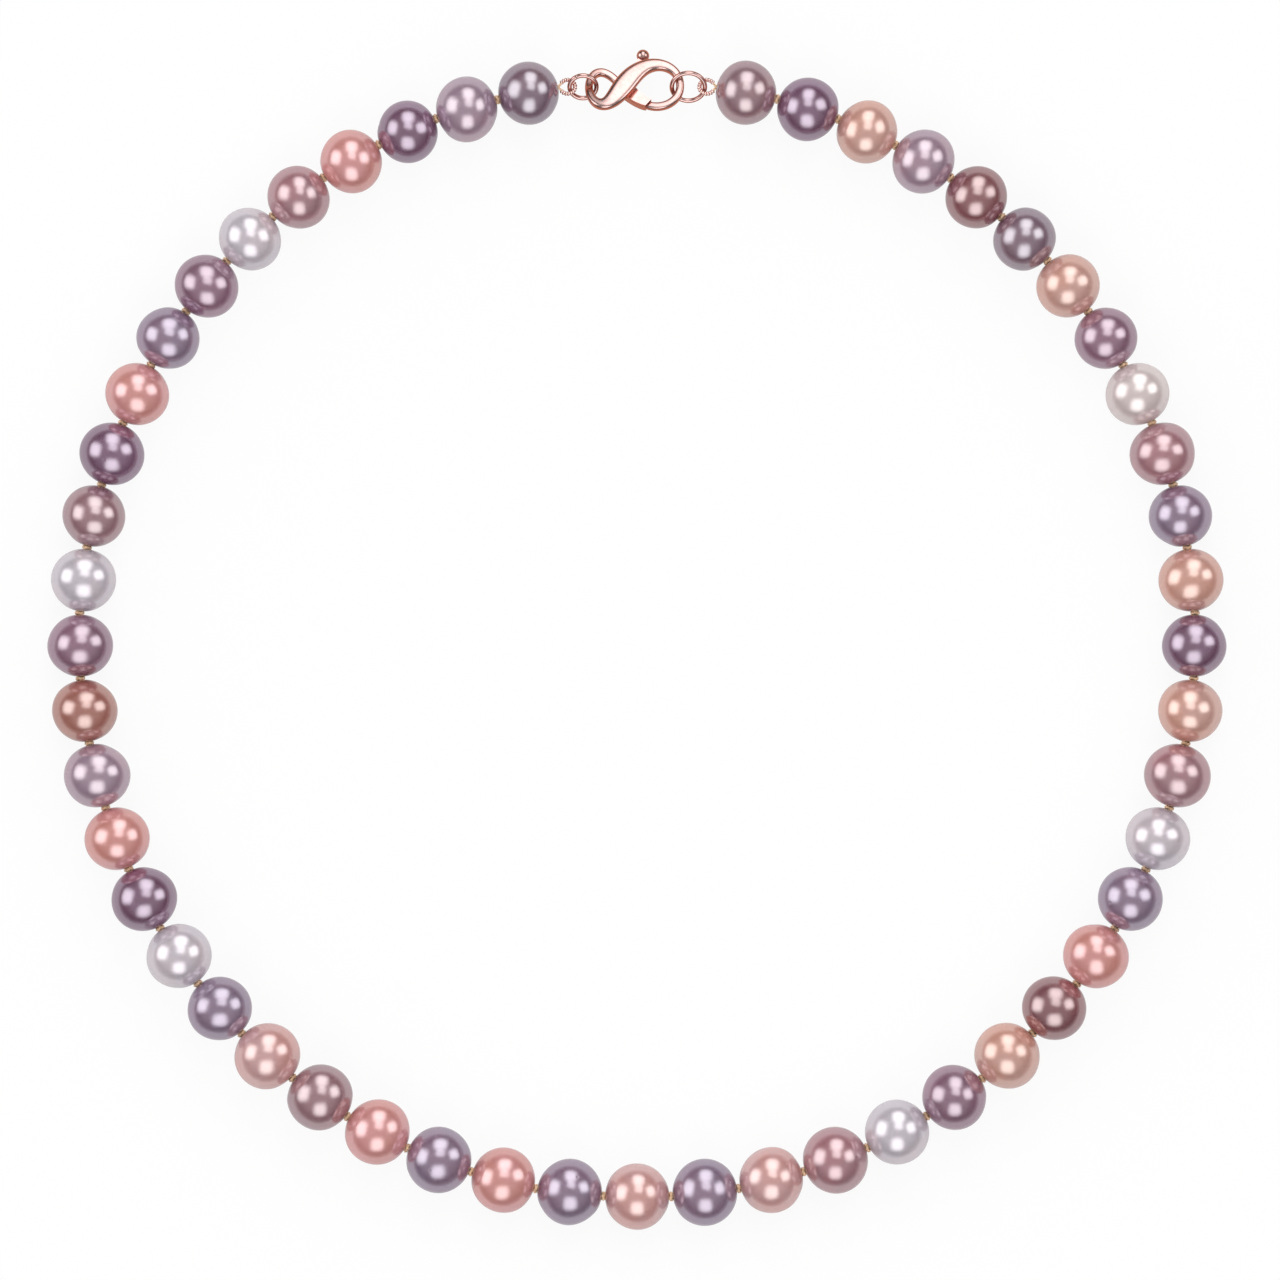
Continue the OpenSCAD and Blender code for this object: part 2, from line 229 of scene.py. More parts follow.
def mesh_of(name: str, patches: list[Patch], sharp_from: float | None = None,
            scale: float = MM) -> bpy.types.Mesh:
    """Puts patches into one smooth mesh with a UV map.

    Args:
        name: Name of the mesh.
        patches: Surfaces that make the piece.
        sharp_from: Angle in degrees from which an edge stays sharp, or None for none.
        scale: Mesh units in a millimetre.

    Returns:
        The mesh.
    """
    offsets = np.cumsum([0] + [len(p.points) for p in patches])
    points = np.concatenate([p.points for p in patches]) * scale
    corners = np.concatenate([p.corners + offset for p, offset in zip(patches, offsets)]).astype(np.int32)
    sizes = np.concatenate([p.sizes for p in patches]).astype(np.int32)
    starts = starts_of(sizes).astype(np.int32)
    mesh = bpy.data.meshes.new(name)
    mesh.vertices.add(len(points))
    mesh.vertices.foreach_set("co", points.astype(np.float32).ravel())
    mesh.loops.add(len(corners))
    mesh.loops.foreach_set("vertex_index", corners)
    mesh.polygons.add(len(sizes))
    mesh.polygons.foreach_set("loop_start", starts)
    mesh.polygons.foreach_set("use_smooth", np.ones(len(sizes), bool))
    mesh.update(calc_edges=True)
    mesh.validate()
    mesh.uv_layers.new(name="surface").data.foreach_set(
        "uv", np.concatenate([p.uv for p in patches]).astype(np.float32).ravel())
    if sharp_from is not None:
        mesh.set_sharp_from_angle(angle=np.radians(sharp_from))
    return mesh


def new_object(name: str, data: bpy.types.ID) -> bpy.types.Object:
    """A new object in the scene."""
    made = bpy.data.objects.new(name, data)
    bpy.context.scene.collection.objects.link(made)
    return made


def add_piece(mesh: bpy.types.Mesh, material: bpy.types.Material, body: str, slot: str,
              *nodes: str) -> bpy.types.Object:
    """Makes a mesh a piece of the necklace.

    Args:
        mesh: The piece's mesh, whose name the piece takes.
        material: Its finish.
        body: CAD body that it rides on.
        slot: Slot of the record that its finish belongs to; not used.
        *nodes: CAD nodes that it stands for.

    Returns:
        The piece.
    """
    piece = new_object(mesh.name, mesh)
    mesh.materials.append(material)
    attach(piece, body)
    if nodes:
        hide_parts(*nodes)
    LOG.info("%s: %d faces, rides on %s", piece.name, len(mesh.polygons), body)
    return piece


# ---------------------------------------------------------------- finishes


def linear(colour: Colour) -> tuple[float, float, float, float]:
    """A screen colour c as linear light, with full alpha.

    The light is c / 12.92 up to 0.04045 and ((c + 0.055) / 1.055) ^ 2.4 above, the usual display curve.
    """
    screen = np.array(colour)
    light = np.where(screen <= 0.04045, screen / 12.92, ((screen + 0.055) / 1.055) ** 2.4)
    return (float(light[0]), float(light[1]), float(light[2]), 1.0)


class NodeSheet:
    """The node tree of one material, filled from the surface's pattern to its shader."""

    def __init__(self, tree: bpy.types.NodeTree) -> None:
        """Starts with an empty tree."""
        self.tree = tree
        tree.nodes.clear()

    @classmethod
    def material(cls, name: str) -> tuple[bpy.types.Material, "NodeSheet"]:
        """A new material and the sheet to fill it by."""
        made = bpy.data.materials.new(name)
        made.use_nodes = True
        return made, cls(made.node_tree)

    def node(self, kind: str, inputs: dict | None = None, **settings: object) -> bpy.types.Node:
        """Adds a node.

        Args:
            kind: Blender's name of the node type.
            inputs: Each input's name or number, with a value or with the socket that feeds it.
            **settings: Properties of the node.

        Returns:
            The node.
        """
        made = self.tree.nodes.new(kind)
        for name, value in settings.items():
            setattr(made, name, value)
        for name, value in (inputs or {}).items():
            if isinstance(value, bpy.types.NodeSocket):
                self.tree.links.new(value, made.inputs[name])
            else:
                made.inputs[name].default_value = value
        return made

    def math(self, operation: str, *values: object) -> bpy.types.NodeSocket:
        """Result of a Math node on numbers or sockets."""
        return self.node("ShaderNodeMath", dict(enumerate(values)), operation=operation).outputs[0]

    def span(self, value: object, low: float, high: float, to_low: float = 0.0,
             to_high: float = 1.0) -> bpy.types.NodeSocket:
        """A value carried smoothly from one span to another, held at the ends."""
        ends = {"Value": value, "From Min": low, "From Max": high, "To Min": to_low, "To Max": to_high}
        return self.node("ShaderNodeMapRange", ends, interpolation_type="SMOOTHSTEP").outputs["Result"]

    def blend(self, share: object, first: object, second: object) -> bpy.types.NodeSocket:
        """Colour that goes from first to second with the share."""
        return self.node("ShaderNodeMix", {"Factor": share, 6: first, 7: second}, data_type="RGBA").outputs[2]

    def noise(self, place: bpy.types.NodeSocket, scale: float, detail: float) -> bpy.types.NodeSocket:
        """Cloudy noise from 0 to 1."""
        return self.node("ShaderNodeTexNoise", {"Vector": place, "Scale": scale, "Detail": detail}).outputs[0]

    def stretched(self, place: bpy.types.NodeSocket, scale: Triple) -> bpy.types.NodeSocket:
        """Coordinates scaled apart along x, y and z."""
        return self.node("ShaderNodeMapping", {"Vector": place, "Scale": scale}).outputs[0]

    def bump(self, height: object, distance: float, strength: float,
             below: bpy.types.NodeSocket | None = None) -> bpy.types.NodeSocket:
        """Normal of a surface raised by a height, over the bump below it."""
        inputs = {"Height": height, "Distance": distance, "Strength": strength}
        return self.node("ShaderNodeBump", inputs if below is None else {**inputs, "Normal": below}).outputs[0]

    def principled(self, inputs: dict) -> None:
        """Ends the material in a Principled shader with these inputs."""
        self.finish(self.node("ShaderNodeBsdfPrincipled", inputs).outputs[0])

    def finish(self, shader: bpy.types.NodeSocket) -> None:
        """Joins the shader to the material's surface."""
        self.tree.links.new(shader, self.node("ShaderNodeOutputMaterial").inputs["Surface"])


@dataclass(frozen=True)
class NacreFinish:
    """Nacre of one shade. Scales are per metre and depths in metres.

    Attributes:
        body: Colour of the nacre itself.
        blush: Second colour, which drifts over the body in soft clouds.
        lustre: Tint of the light that the thin layers throw back.
        depth: Refractive index that stands for how strongly they throw it back.
        gloss: Roughness of those layers.
        gloss_play: How far the roughness goes under and over that from place to place.
        cloud_scale: Scale of the clouds.
        hole_ring: From where to where the colour darkens towards a drill hole, as UV values from the girdle.
        hole_tone: Brightness of the darker colour, as a share of the body's.
        hole_share: How far it takes the place of the rest.
        haze_scale: Scale of the changes in roughness.
        line_scale: Growth lines round and along the UV map.
        line_depth: Their depth.
        pit_scale: Scale of the cells that may hold a pit.
        pit_share: Share of them that do.
        pit_depth: Depth of a pit.
        wave_scale: Scale of the soft waves of the surface.
        wave_depth: Their depth.
    """

    body: Colour
    blush: Colour
    lustre: Colour
    depth: float = 3.2
    gloss: float = 0.17
    gloss_play: tuple[float, float] = (0.03, 0.04)
    cloud_scale: float = 190.0
    hole_ring: tuple[float, float] = (0.455, 0.492)
    hole_tone: float = 0.82
    hole_share: float = 0.75
    haze_scale: float = 1300.0
    line_scale: Triple = (5.0, 90.0, 1.0)
    line_depth: float = 4e-6
    pit_scale: float = 520.0
    pit_share: float = 0.1
    pit_depth: float = 2.5e-5
    wave_scale: float = 420.0
    wave_depth: float = 4e-5

    def build(self, name: str) -> bpy.types.Material:
        """The material: clouds of the two colours, a darker ring at the drill holes, growth lines and rare pits."""
        material, sheet = NodeSheet.material(name)
        spots = sheet.node("ShaderNodeTexCoord").outputs
        place = spots["Object"]
        pole = sheet.node("ShaderNodeSeparateXYZ", {0: spots["UV"]}).outputs[1]
        clouds = sheet.span(sheet.noise(place, self.cloud_scale, 3.0), 0.36, 0.64)
        skin = sheet.blend(clouds, linear(self.body), linear(self.blush))
        # The colour darkens towards each drill hole, where the pearl meets its knot and its neighbour.
        darker_tone = tuple(self.hole_tone * part for part in self.body)
        at_hole = sheet.span(sheet.math("ABSOLUTE", sheet.math("SUBTRACT", pole, 0.5)), *self.hole_ring)
        skin = sheet.blend(sheet.math("MULTIPLY", at_hole, self.hole_share), skin, linear(darker_tone))
        under, over = self.gloss_play
        haze = sheet.noise(place, self.haze_scale, 3.0)
        rough = sheet.span(haze, 0.3, 0.7, self.gloss - under, self.gloss + over)
        lines = sheet.noise(sheet.stretched(spots["UV"], self.line_scale), 1.0, 2.0)
        cells = sheet.node("ShaderNodeTexVoronoi", {"Vector": place, "Scale": self.pit_scale}).outputs
        draw = sheet.node("ShaderNodeSeparateColor", {0: cells["Color"]}).outputs[0]
        rare = sheet.math("GREATER_THAN", draw, 1.0 - self.pit_share)
        pits = sheet.math("MULTIPLY", rare, sheet.span(cells["Distance"], 0.04, 0.16, -1.0, 0.0))
        waves = sheet.bump(sheet.noise(place, self.wave_scale, 1.0), self.wave_depth, 0.5)
        normal = sheet.bump(pits, self.pit_depth, 0.5, sheet.bump(lines, self.line_depth, 0.5, waves))
        sheet.principled({
            "Base Color": skin, "Roughness": rough, "Normal": normal, "IOR": self.depth,
            "Specular Tint": (*self.lustre, 1.0), "Coat Weight": 0.3, "Coat Roughness": 0.12, "Coat IOR": 1.6,
            "Coat Normal": waves})
        return material


class Shade(Enum):
    """Every shade of pearl on the strand, with its nacre."""

    WHITE = NacreFinish((0.76, 0.73, 0.76), (0.79, 0.74, 0.76), (1.0, 0.95, 1.0))
    CREAM = NacreFinish((0.81, 0.74, 0.74), (0.83, 0.77, 0.76), (1.0, 0.96, 0.95))
    BLUSH = NacreFinish((0.79, 0.62, 0.62), (0.80, 0.58, 0.56), (1.0, 0.87, 0.84))
    PEACH = NacreFinish((0.79, 0.61, 0.57), (0.81, 0.59, 0.53), (1.0, 0.85, 0.78))
    CORAL = NacreFinish((0.81, 0.54, 0.50), (0.82, 0.56, 0.55), (1.0, 0.80, 0.82))
    COPPER = NacreFinish((0.62, 0.38, 0.34), (0.66, 0.42, 0.37), (1.0, 0.84, 0.80))
    ROSE = NacreFinish((0.61, 0.45, 0.48), (0.65, 0.44, 0.47), (1.0, 0.86, 0.88))
    BRONZE = NacreFinish((0.48, 0.28, 0.31), (0.52, 0.30, 0.32), (1.0, 0.84, 0.84))
    TAUPE = NacreFinish((0.54, 0.41, 0.45), (0.58, 0.42, 0.45), (1.0, 0.88, 0.90))
    SMOKE = NacreFinish((0.46, 0.35, 0.42), (0.49, 0.37, 0.42), (0.92, 0.90, 0.97))
    LILAC = NacreFinish((0.60, 0.50, 0.57), (0.63, 0.50, 0.56), (1.0, 0.90, 0.95))
    LAVENDER = NacreFinish((0.50, 0.42, 0.50), (0.52, 0.41, 0.49), (0.93, 0.86, 1.0))
    MAUVE = NacreFinish((0.50, 0.36, 0.43), (0.53, 0.37, 0.45), (0.98, 0.85, 0.95))
    PLUM = NacreFinish((0.42, 0.27, 0.36), (0.46, 0.31, 0.41), (0.94, 0.84, 0.98))


@dataclass(frozen=True)
class MetalFinish:
    """Plated metal. Scales are per metre and depths in metres.

    Attributes:
        colour: Colour of the clean metal.
        darker_tone: Darker colour that it takes where the plating is thin.
        edge: Painted shade: a deeper colour laid on where the surface turns away from the eye, in place of the dark
            reflections at its rims.
        gloss: Roughness of the polish.
        grain: How deep the polishing lines are.
        wear_scale: Scale of the patches of thin plating.
        wear_share: How far the darker colour takes the place of the clean one there.
        painted_shade_span: From where to where the painted shade comes in as the surface turns away, from 0, facing
            the eye, to 1.
        haze_scale: Scale of the changes in the polish.
        haze: Least and greatest roughness as shares of the gloss.
        line_scale: Polishing lines along x, y and z.
        dent_scale: Scale of the soft dents.
        dent_depth: Their depth.
    """

    colour: Colour
    darker_tone: Colour
    edge: Colour
    gloss: float
    grain: float
    wear_scale: float = 700.0
    wear_share: float = 0.35
    painted_shade_span: tuple[float, float] = (0.18, 0.42)
    haze_scale: float = 2600.0
    haze: tuple[float, float] = (0.75, 1.35)
    line_scale: Triple = (2500.0, 14000.0, 9000.0)
    dent_scale: float = 900.0
    dent_depth: float = 6e-6

    def build(self, name: str) -> bpy.types.Material:
        """The material: faint patches of wear, fine polishing lines, a polish that varies a little, and painted shade
        at the rims.
        """
        material, sheet = NodeSheet.material(name)
        place = sheet.node("ShaderNodeTexCoord").outputs["Object"]
        patches = sheet.span(sheet.noise(place, self.wear_scale, 4.0), 0.45, 0.75)
        skin = sheet.blend(sheet.math("MULTIPLY", patches, self.wear_share), linear(self.colour), linear(self.darker_tone))
        # Painted shade: the colour deepens where the surface turns away from the eye, standing in for dark
        # reflections at the rims.
        away = sheet.node("ShaderNodeLayerWeight", {"Blend": 0.5}).outputs["Facing"]
        skin = sheet.blend(sheet.span(away, *self.painted_shade_span), skin, linear(self.edge))
        smooth, dull = (share * self.gloss for share in self.haze)
        rough = sheet.span(sheet.noise(place, self.haze_scale, 3.0), 0.3, 0.7, smooth, dull)
        lines = sheet.noise(sheet.stretched(place, self.line_scale), 1.0, 3.0)
        dents = sheet.bump(sheet.noise(place, self.dent_scale, 1.0), self.dent_depth, 0.4)
        normal = sheet.bump(lines, self.grain, 0.35, dents)
        sheet.principled({"Base Color": skin, "Roughness": rough, "Normal": normal, "Metallic": 1.0})
        return material


# Each metal's third colour is its painted shade at the rims, where the surface turns away from the eye.
ROSE_GOLD = MetalFinish((0.79, 0.66, 0.64), (0.75, 0.58, 0.54), (0.80, 0.47, 0.36), 0.2, 1.5e-6)
FRENCH_WIRE = MetalFinish((0.98, 0.89, 0.87), (0.95, 0.80, 0.77), (0.86, 0.62, 0.56), 0.2, 1.0e-6)
SPRING_STEEL = MetalFinish((0.75, 0.74, 0.74), (0.62, 0.60, 0.58), (0.60, 0.59, 0.59), 0.25, 3.0e-6)


@dataclass(frozen=True)
class SilkFinish:
    """Plied silk. Depths are in metres.

    Attributes:
        colour: Colour of the plies.
        shade: Painted shade in the grooves between them, also the colour of some fibres.
        plies: Plies round the thread.
        wind: Turns that they make along a unit of the UV map.
        ply_depth: Height of a ply.
        fibre_scale: Fibres round and along the UV map.
        fibre_depth: Their height.
    """

    colour: Colour = (1.0, 0.87, 0.72)
    shade: Colour = (0.95, 0.70, 0.50)
    plies: float = 3.0
    wind: float = 5.0
    ply_depth: float = 3e-5
    fibre_scale: Triple = (26.0, 4.0, 1.0)
    fibre_depth: float = 2e-5

    def build(self, name: str) -> bpy.types.Material:
        """The material: plies that wind along the UV map with painted shade in the grooves between them, fine fibres
        along them and a soft sheen.
        """
        material, sheet = NodeSheet.material(name)
        spots = sheet.node("ShaderNodeTexCoord").outputs["UV"]
        round_it, along = sheet.node("ShaderNodeSeparateXYZ", {0: spots}).outputs[:2]
        wind = sheet.math("ADD", sheet.math("MULTIPLY", round_it, self.plies),
                          sheet.math("MULTIPLY", along, self.wind))
        ply = sheet.math("SINE", sheet.math("MULTIPLY", wind, TURN))
        fibre = sheet.noise(sheet.stretched(spots, self.fibre_scale), 1.0, 3.0)
        # Painted shade: the grooves between the plies are darkened towards the shade colour.
        dark = sheet.math("MULTIPLY", sheet.span(ply, -1.0, 0.1, 1.0, 0.0), 0.6)
        skin = sheet.blend(dark, linear(self.colour), linear(self.shade))
        skin = sheet.blend(sheet.span(fibre, 0.4, 0.75, 0.0, 0.35), skin, linear(self.shade))
        normal = sheet.bump(fibre, self.fibre_depth, 0.5, sheet.bump(ply, self.ply_depth, 0.6))
        sheet.principled({
            "Base Color": skin, "Roughness": sheet.span(fibre, 0.3, 0.7, 0.45, 0.65), "Normal": normal,
            "Sheen Weight": 0.3, "Sheen Roughness": 0.4})
        return material


# ---------------------------------------------------------------- layout of the strand


@dataclass
class StrandPlan:
    """Sizes of the strand, in millimetres and degrees, and the places that follow from them, as in the CAD model.

    Pearls count from 1 at the left of the clasp, and knot n follows pearl n.
    """

    front_across: float = 8.65
    front_along: float = 8.38
    back_across: float = 8.35
    back_along: float = 7.90
    stray: float = 0.08
    stray_turn: float = 137.5
    front_gap: float = 0.42
    back_gap: float = 0.38
    bore_d: float = 0.9
    thread_d: float = 0.36
    knot_d: float = 1.2
    gimp_d: float = 0.7
    gimp_r: float = 0.98
    gimp_tilt: float = -22.0
    ring_wire: float = 0.6
    ring_left_d: float = 4.1
    ring_right_d: float = 4.9
    ring_tilt: float = 33.0
    eight_l: float = 11.86
    band_end_w: float = 1.05
    eye_play: float = 0.16
    hook_play: float = 0.26
    gimp_play: float = 0.06
    run: float = 0.08
    touch: float = 0.02
    hinge_knots: tuple[int, ...] = (0, 2, 5, 8, 11, 14, 17, 20, 23, 25)
    shades: tuple[str, ...] = tuple((
        "SMOKE LILAC PLUM CORAL ROSE WHITE MAUVE LAVENDER CORAL PLUM TAUPE WHITE MAUVE COPPER LILAC CORAL "
        "PLUM WHITE LAVENDER BLUSH TAUPE CORAL LAVENDER CORAL LAVENDER BLUSH LAVENDER BLUSH ROSE WHITE MAUVE "
        "PEACH BRONZE CORAL LAVENDER WHITE ROSE PEACH PLUM PEACH LAVENDER ROSE CREAM MAUVE PEACH SMOKE BRONZE "
        "LILAC PEACH PLUM TAUPE").split())

    def __post_init__(self) -> None:
        """Works out each pearl's size, the loop's radius, and the place of every pearl and knot.

        All the chords, of pearls, gaps and clasp, stand in one circle: the sum of 2 arcsin(chord / (2 radius)) is a
        full turn. The radius is found by halving the span that holds it.
        """
        self.count = len(self.shades)
        self.middle = (self.count + 1) / 2
        number = np.arange(1, self.count + 1)
        away = np.abs(number - self.middle)
        grade = (1 + np.cos(np.pi * away / (self.middle - 1))) / 2
        stray = self.stray * np.sin(np.radians(self.stray_turn * away))
        self.across = self.back_across + (self.front_across - self.back_across) * grade + stray
        self.along = self.back_along + (self.front_along - self.back_along) * grade + stray
        self.gaps = self.back_gap + (self.front_gap - self.back_gap) * grade
        self.bore_z = float(self.across[0] / 2)
        gimp_out = self.gimp_r + self.gimp_d / 2
        self.gimp_reach = float(np.sqrt(gimp_out ** 2 - self.gimp_d ** 2) + self.run - self.gaps[0] / 2)
        self.gimp_hold = self.gimp_reach + self.gimp_r - self.gimp_d / 2 - self.ring_wire / 2 - self.gimp_play
        self.ring_left_r = (self.ring_left_d - self.ring_wire) / 2
        self.ring_right_r = (self.ring_right_d - self.ring_wire) / 2
        self.eye_inset = (self.band_end_w + self.ring_wire) / 2 + self.eye_play
        self.hook_inset = (self.band_end_w + self.ring_wire) / 2 + self.hook_play
        self.pull_l = (2 * self.gimp_hold + 2 * self.ring_left_r + 2 * self.ring_right_r
                       + self.eight_l - self.eye_inset - self.hook_inset)
        chords = np.append(self.along + self.gaps, self.pull_l)
        low, high = float(chords.sum()) / 8, float(chords.sum())
        for _ in range(50):
            radius = (low + high) / 2
            if 2 * np.arcsin(chords / (2 * radius)).sum() > TURN:
                low = radius
            else:
                high = radius
        self.radius = (low + high) / 2
        turns = 2 * np.arcsin(chords / (2 * self.radius))
        self.pull_y = float(self.radius * np.cos(turns[-1] / 2))
        self.knot_angle = np.pi / 2 + turns[-1] / 2 + np.concatenate([[0.0], np.cumsum(turns[:-1])])
        self.pearl_angle = (self.knot_angle[:-1] + self.knot_angle[1:]) / 2
        reach = self.radius * np.cos(turns[:-1] / 2)
        self.pearls = np.column_stack([reach[:, None] * rim(self.pearl_angle), self.across / 2])
        after, before = np.append(self.across, self.across[-1]), np.insert(self.across, 0, self.across[0])
        self.knots = np.column_stack([rim(self.knot_angle, self.radius), (after + before) / 4])
        LOG.info("strand: %d pearls, radius %.2f mm, line of pull %.2f mm", self.count, self.radius, self.pull_l)

    def body(self, number: int) -> str:
        """Name of the CAD body of a pearl: the front pearl, or the run of up to three that it belongs to."""
        if number == self.middle:
            return "front_pearl"
        mirrored = min(number, self.count + 1 - number)
        high = min(knot for knot in self.hinge_knots if knot >= mirrored)
        low = max(knot for knot in self.hinge_knots if knot < mirrored) + 1
        if number > self.middle:
            low, high = self.count + 1 - high, self.count + 1 - low
        return f"run_{low:02d}_{high:02d}"

    def loop_points(self, side: int, around: np.ndarray, reach: float | np.ndarray,
                    lift: float | np.ndarray) -> np.ndarray:
        """Points about an end loop, whose plane passes through the line of pull and leans by the gimp's tilt.

        Args:
            side: -1 at the left of the clasp and 1 at the right.
            around: Angle of each point on the loop, from the side of the clasp.
            reach: Its distance from the loop's middle, in the loop's plane.
            lift: Its height over that plane.

        Returns:
            The points.
        """
        outward = self.gimp_reach + reach * np.cos(around)
        aside, up = turned(reach * np.sin(around), lift, np.radians(self.gimp_tilt))
        return np.column_stack([side * (self.pull_l / 2 - outward), self.pull_y + aside, self.bore_z + up])


# ---------------------------------------------------------------- pearls


@dataclass
class Pearls:
    """The strand's pearls: oblate balls, each with its own slight unevenness, drilled along the short axis.

    Attributes:
        plan: The strand.
        sides: Points round each circle about the axis.
        rows: Circles over the outside.
        lip: Radius in millimetres of the rounding at each drill hole.
        uneven: Depth in millimetres of one wave of the surface.
        waves: Number of those waves.
        wave_turn: Greatest part of w along an axis, in radians, for a wave cos(w . p + s).
        calm: Distance in millimetres from the bore over which the waves rise.
        seed: Start of the random draws.
    """

    plan: StrandPlan
    sides: int = 72
    rows: int = 56
    lip: float = 0.07
    uneven: float = 0.022
    waves: int = 7
    wave_turn: float = 3.2
    calm: float = 2.0
    seed: int = 51

    def profile(self, number: int) -> tuple[np.ndarray, np.ndarray, np.ndarray]:
        """Closed outline of a drilled pearl in a half plane through its axis.

        The outside is half an ellipse, s = a cos(b), r = c sin(b); a quarter turn of the lip's radius leads from it
        into the straight bore.

        Args:
            number: Which pearl, from 1.

        Returns:
            Places along the axis, distances from it, and the UV value of each, with one more for the seam.
        """
        half_long, half_wide = self.plan.along[number - 1] / 2, self.plan.across[number - 1] / 2
        bore = self.plan.bore_d / 2
        start = np.arcsin((bore + self.lip) / half_wide)
        turn = np.linspace(start, np.pi - start, self.rows)
        place, reach = half_long * np.cos(turn), half_wide * np.sin(turn)
        edge = np.radians([30.0, 60.0, 90.0])
        lip_r = bore + self.lip * (1 - np.sin(edge))
        lip_s = place[-1] + self.lip * (1 - np.cos(edge))
        inner = np.linspace(lip_s[-1], -lip_s[-1], 5)[1:-1]
        places = np.concatenate([place, lip_s, inner, -lip_s[::-1]])
        reaches = np.concatenate([reach, lip_r, np.full(len(inner), bore), lip_r[::-1]])
        steps = np.linspace(0.0, 1.0, self.rows)
        return places, reaches, np.concatenate([steps, np.full(len(places) - self.rows + 1, 1.0)])

    def patch(self, number: int) -> Patch:
        """Surface of a pearl: its profile swept round the axis, then moved in and out by a few slow seeded waves.

        A wave is cos(w . p + s) at the unit direction p, less its mean at the two poles. A pearl whose waves reach
        under the table is lifted on to it.
        """
        rng = np.random.default_rng(self.seed + number)
        places, reaches, along = self.profile(number)
        points = lathe(reaches, places, self.sides)[..., [2, 0, 1]]
        radial = unit(points)
        waves = rng.uniform(-self.wave_turn, self.wave_turn, (self.waves, 3))
        shifts = rng.uniform(0.0, TURN, self.waves)
        poles = np.cos(shifts + waves[:, 0]).sum() + np.cos(shifts - waves[:, 0]).sum()
        swell = np.cos(radial @ waves.T + shifts).sum(axis=-1) - poles / 2
        clear = np.clip((reaches - self.plan.bore_d / 2 - self.lip) / self.calm, 0.0, 1.0)[:, None]
        x, y, z = np.moveaxis(points + radial * (self.uneven * swell * clear * clear)[..., None], -1, 0)
        x, y = turned(x, y, self.plan.pearl_angle[number - 1] + np.pi / 2)
        z = z - min(0.0, float(z.min()) + self.plan.across[number - 1] / 2)
        return grid_patch(np.stack([x, y, z], axis=-1) + self.plan.pearls[number - 1], True, along)

    def build(self) -> None:
        """Makes every pearl in its shade."""
        slots = {part["node"]: part["material_slot"] for part in frame["record"]["subparts"]}
        finishes = {shade.name: shade.value.build(f"nacre_{shade.name.lower()}") for shade in Shade}
        for number in range(1, self.plan.count + 1):
            node = f"pearl_{number:02d}"
            mesh = mesh_of(f"nacre_{number:02d}", [self.patch(number)])
            add_piece(mesh, finishes[self.plan.shades[number - 1]], self.plan.body(number), slots[node], node)


# ---------------------------------------------------------------- silk


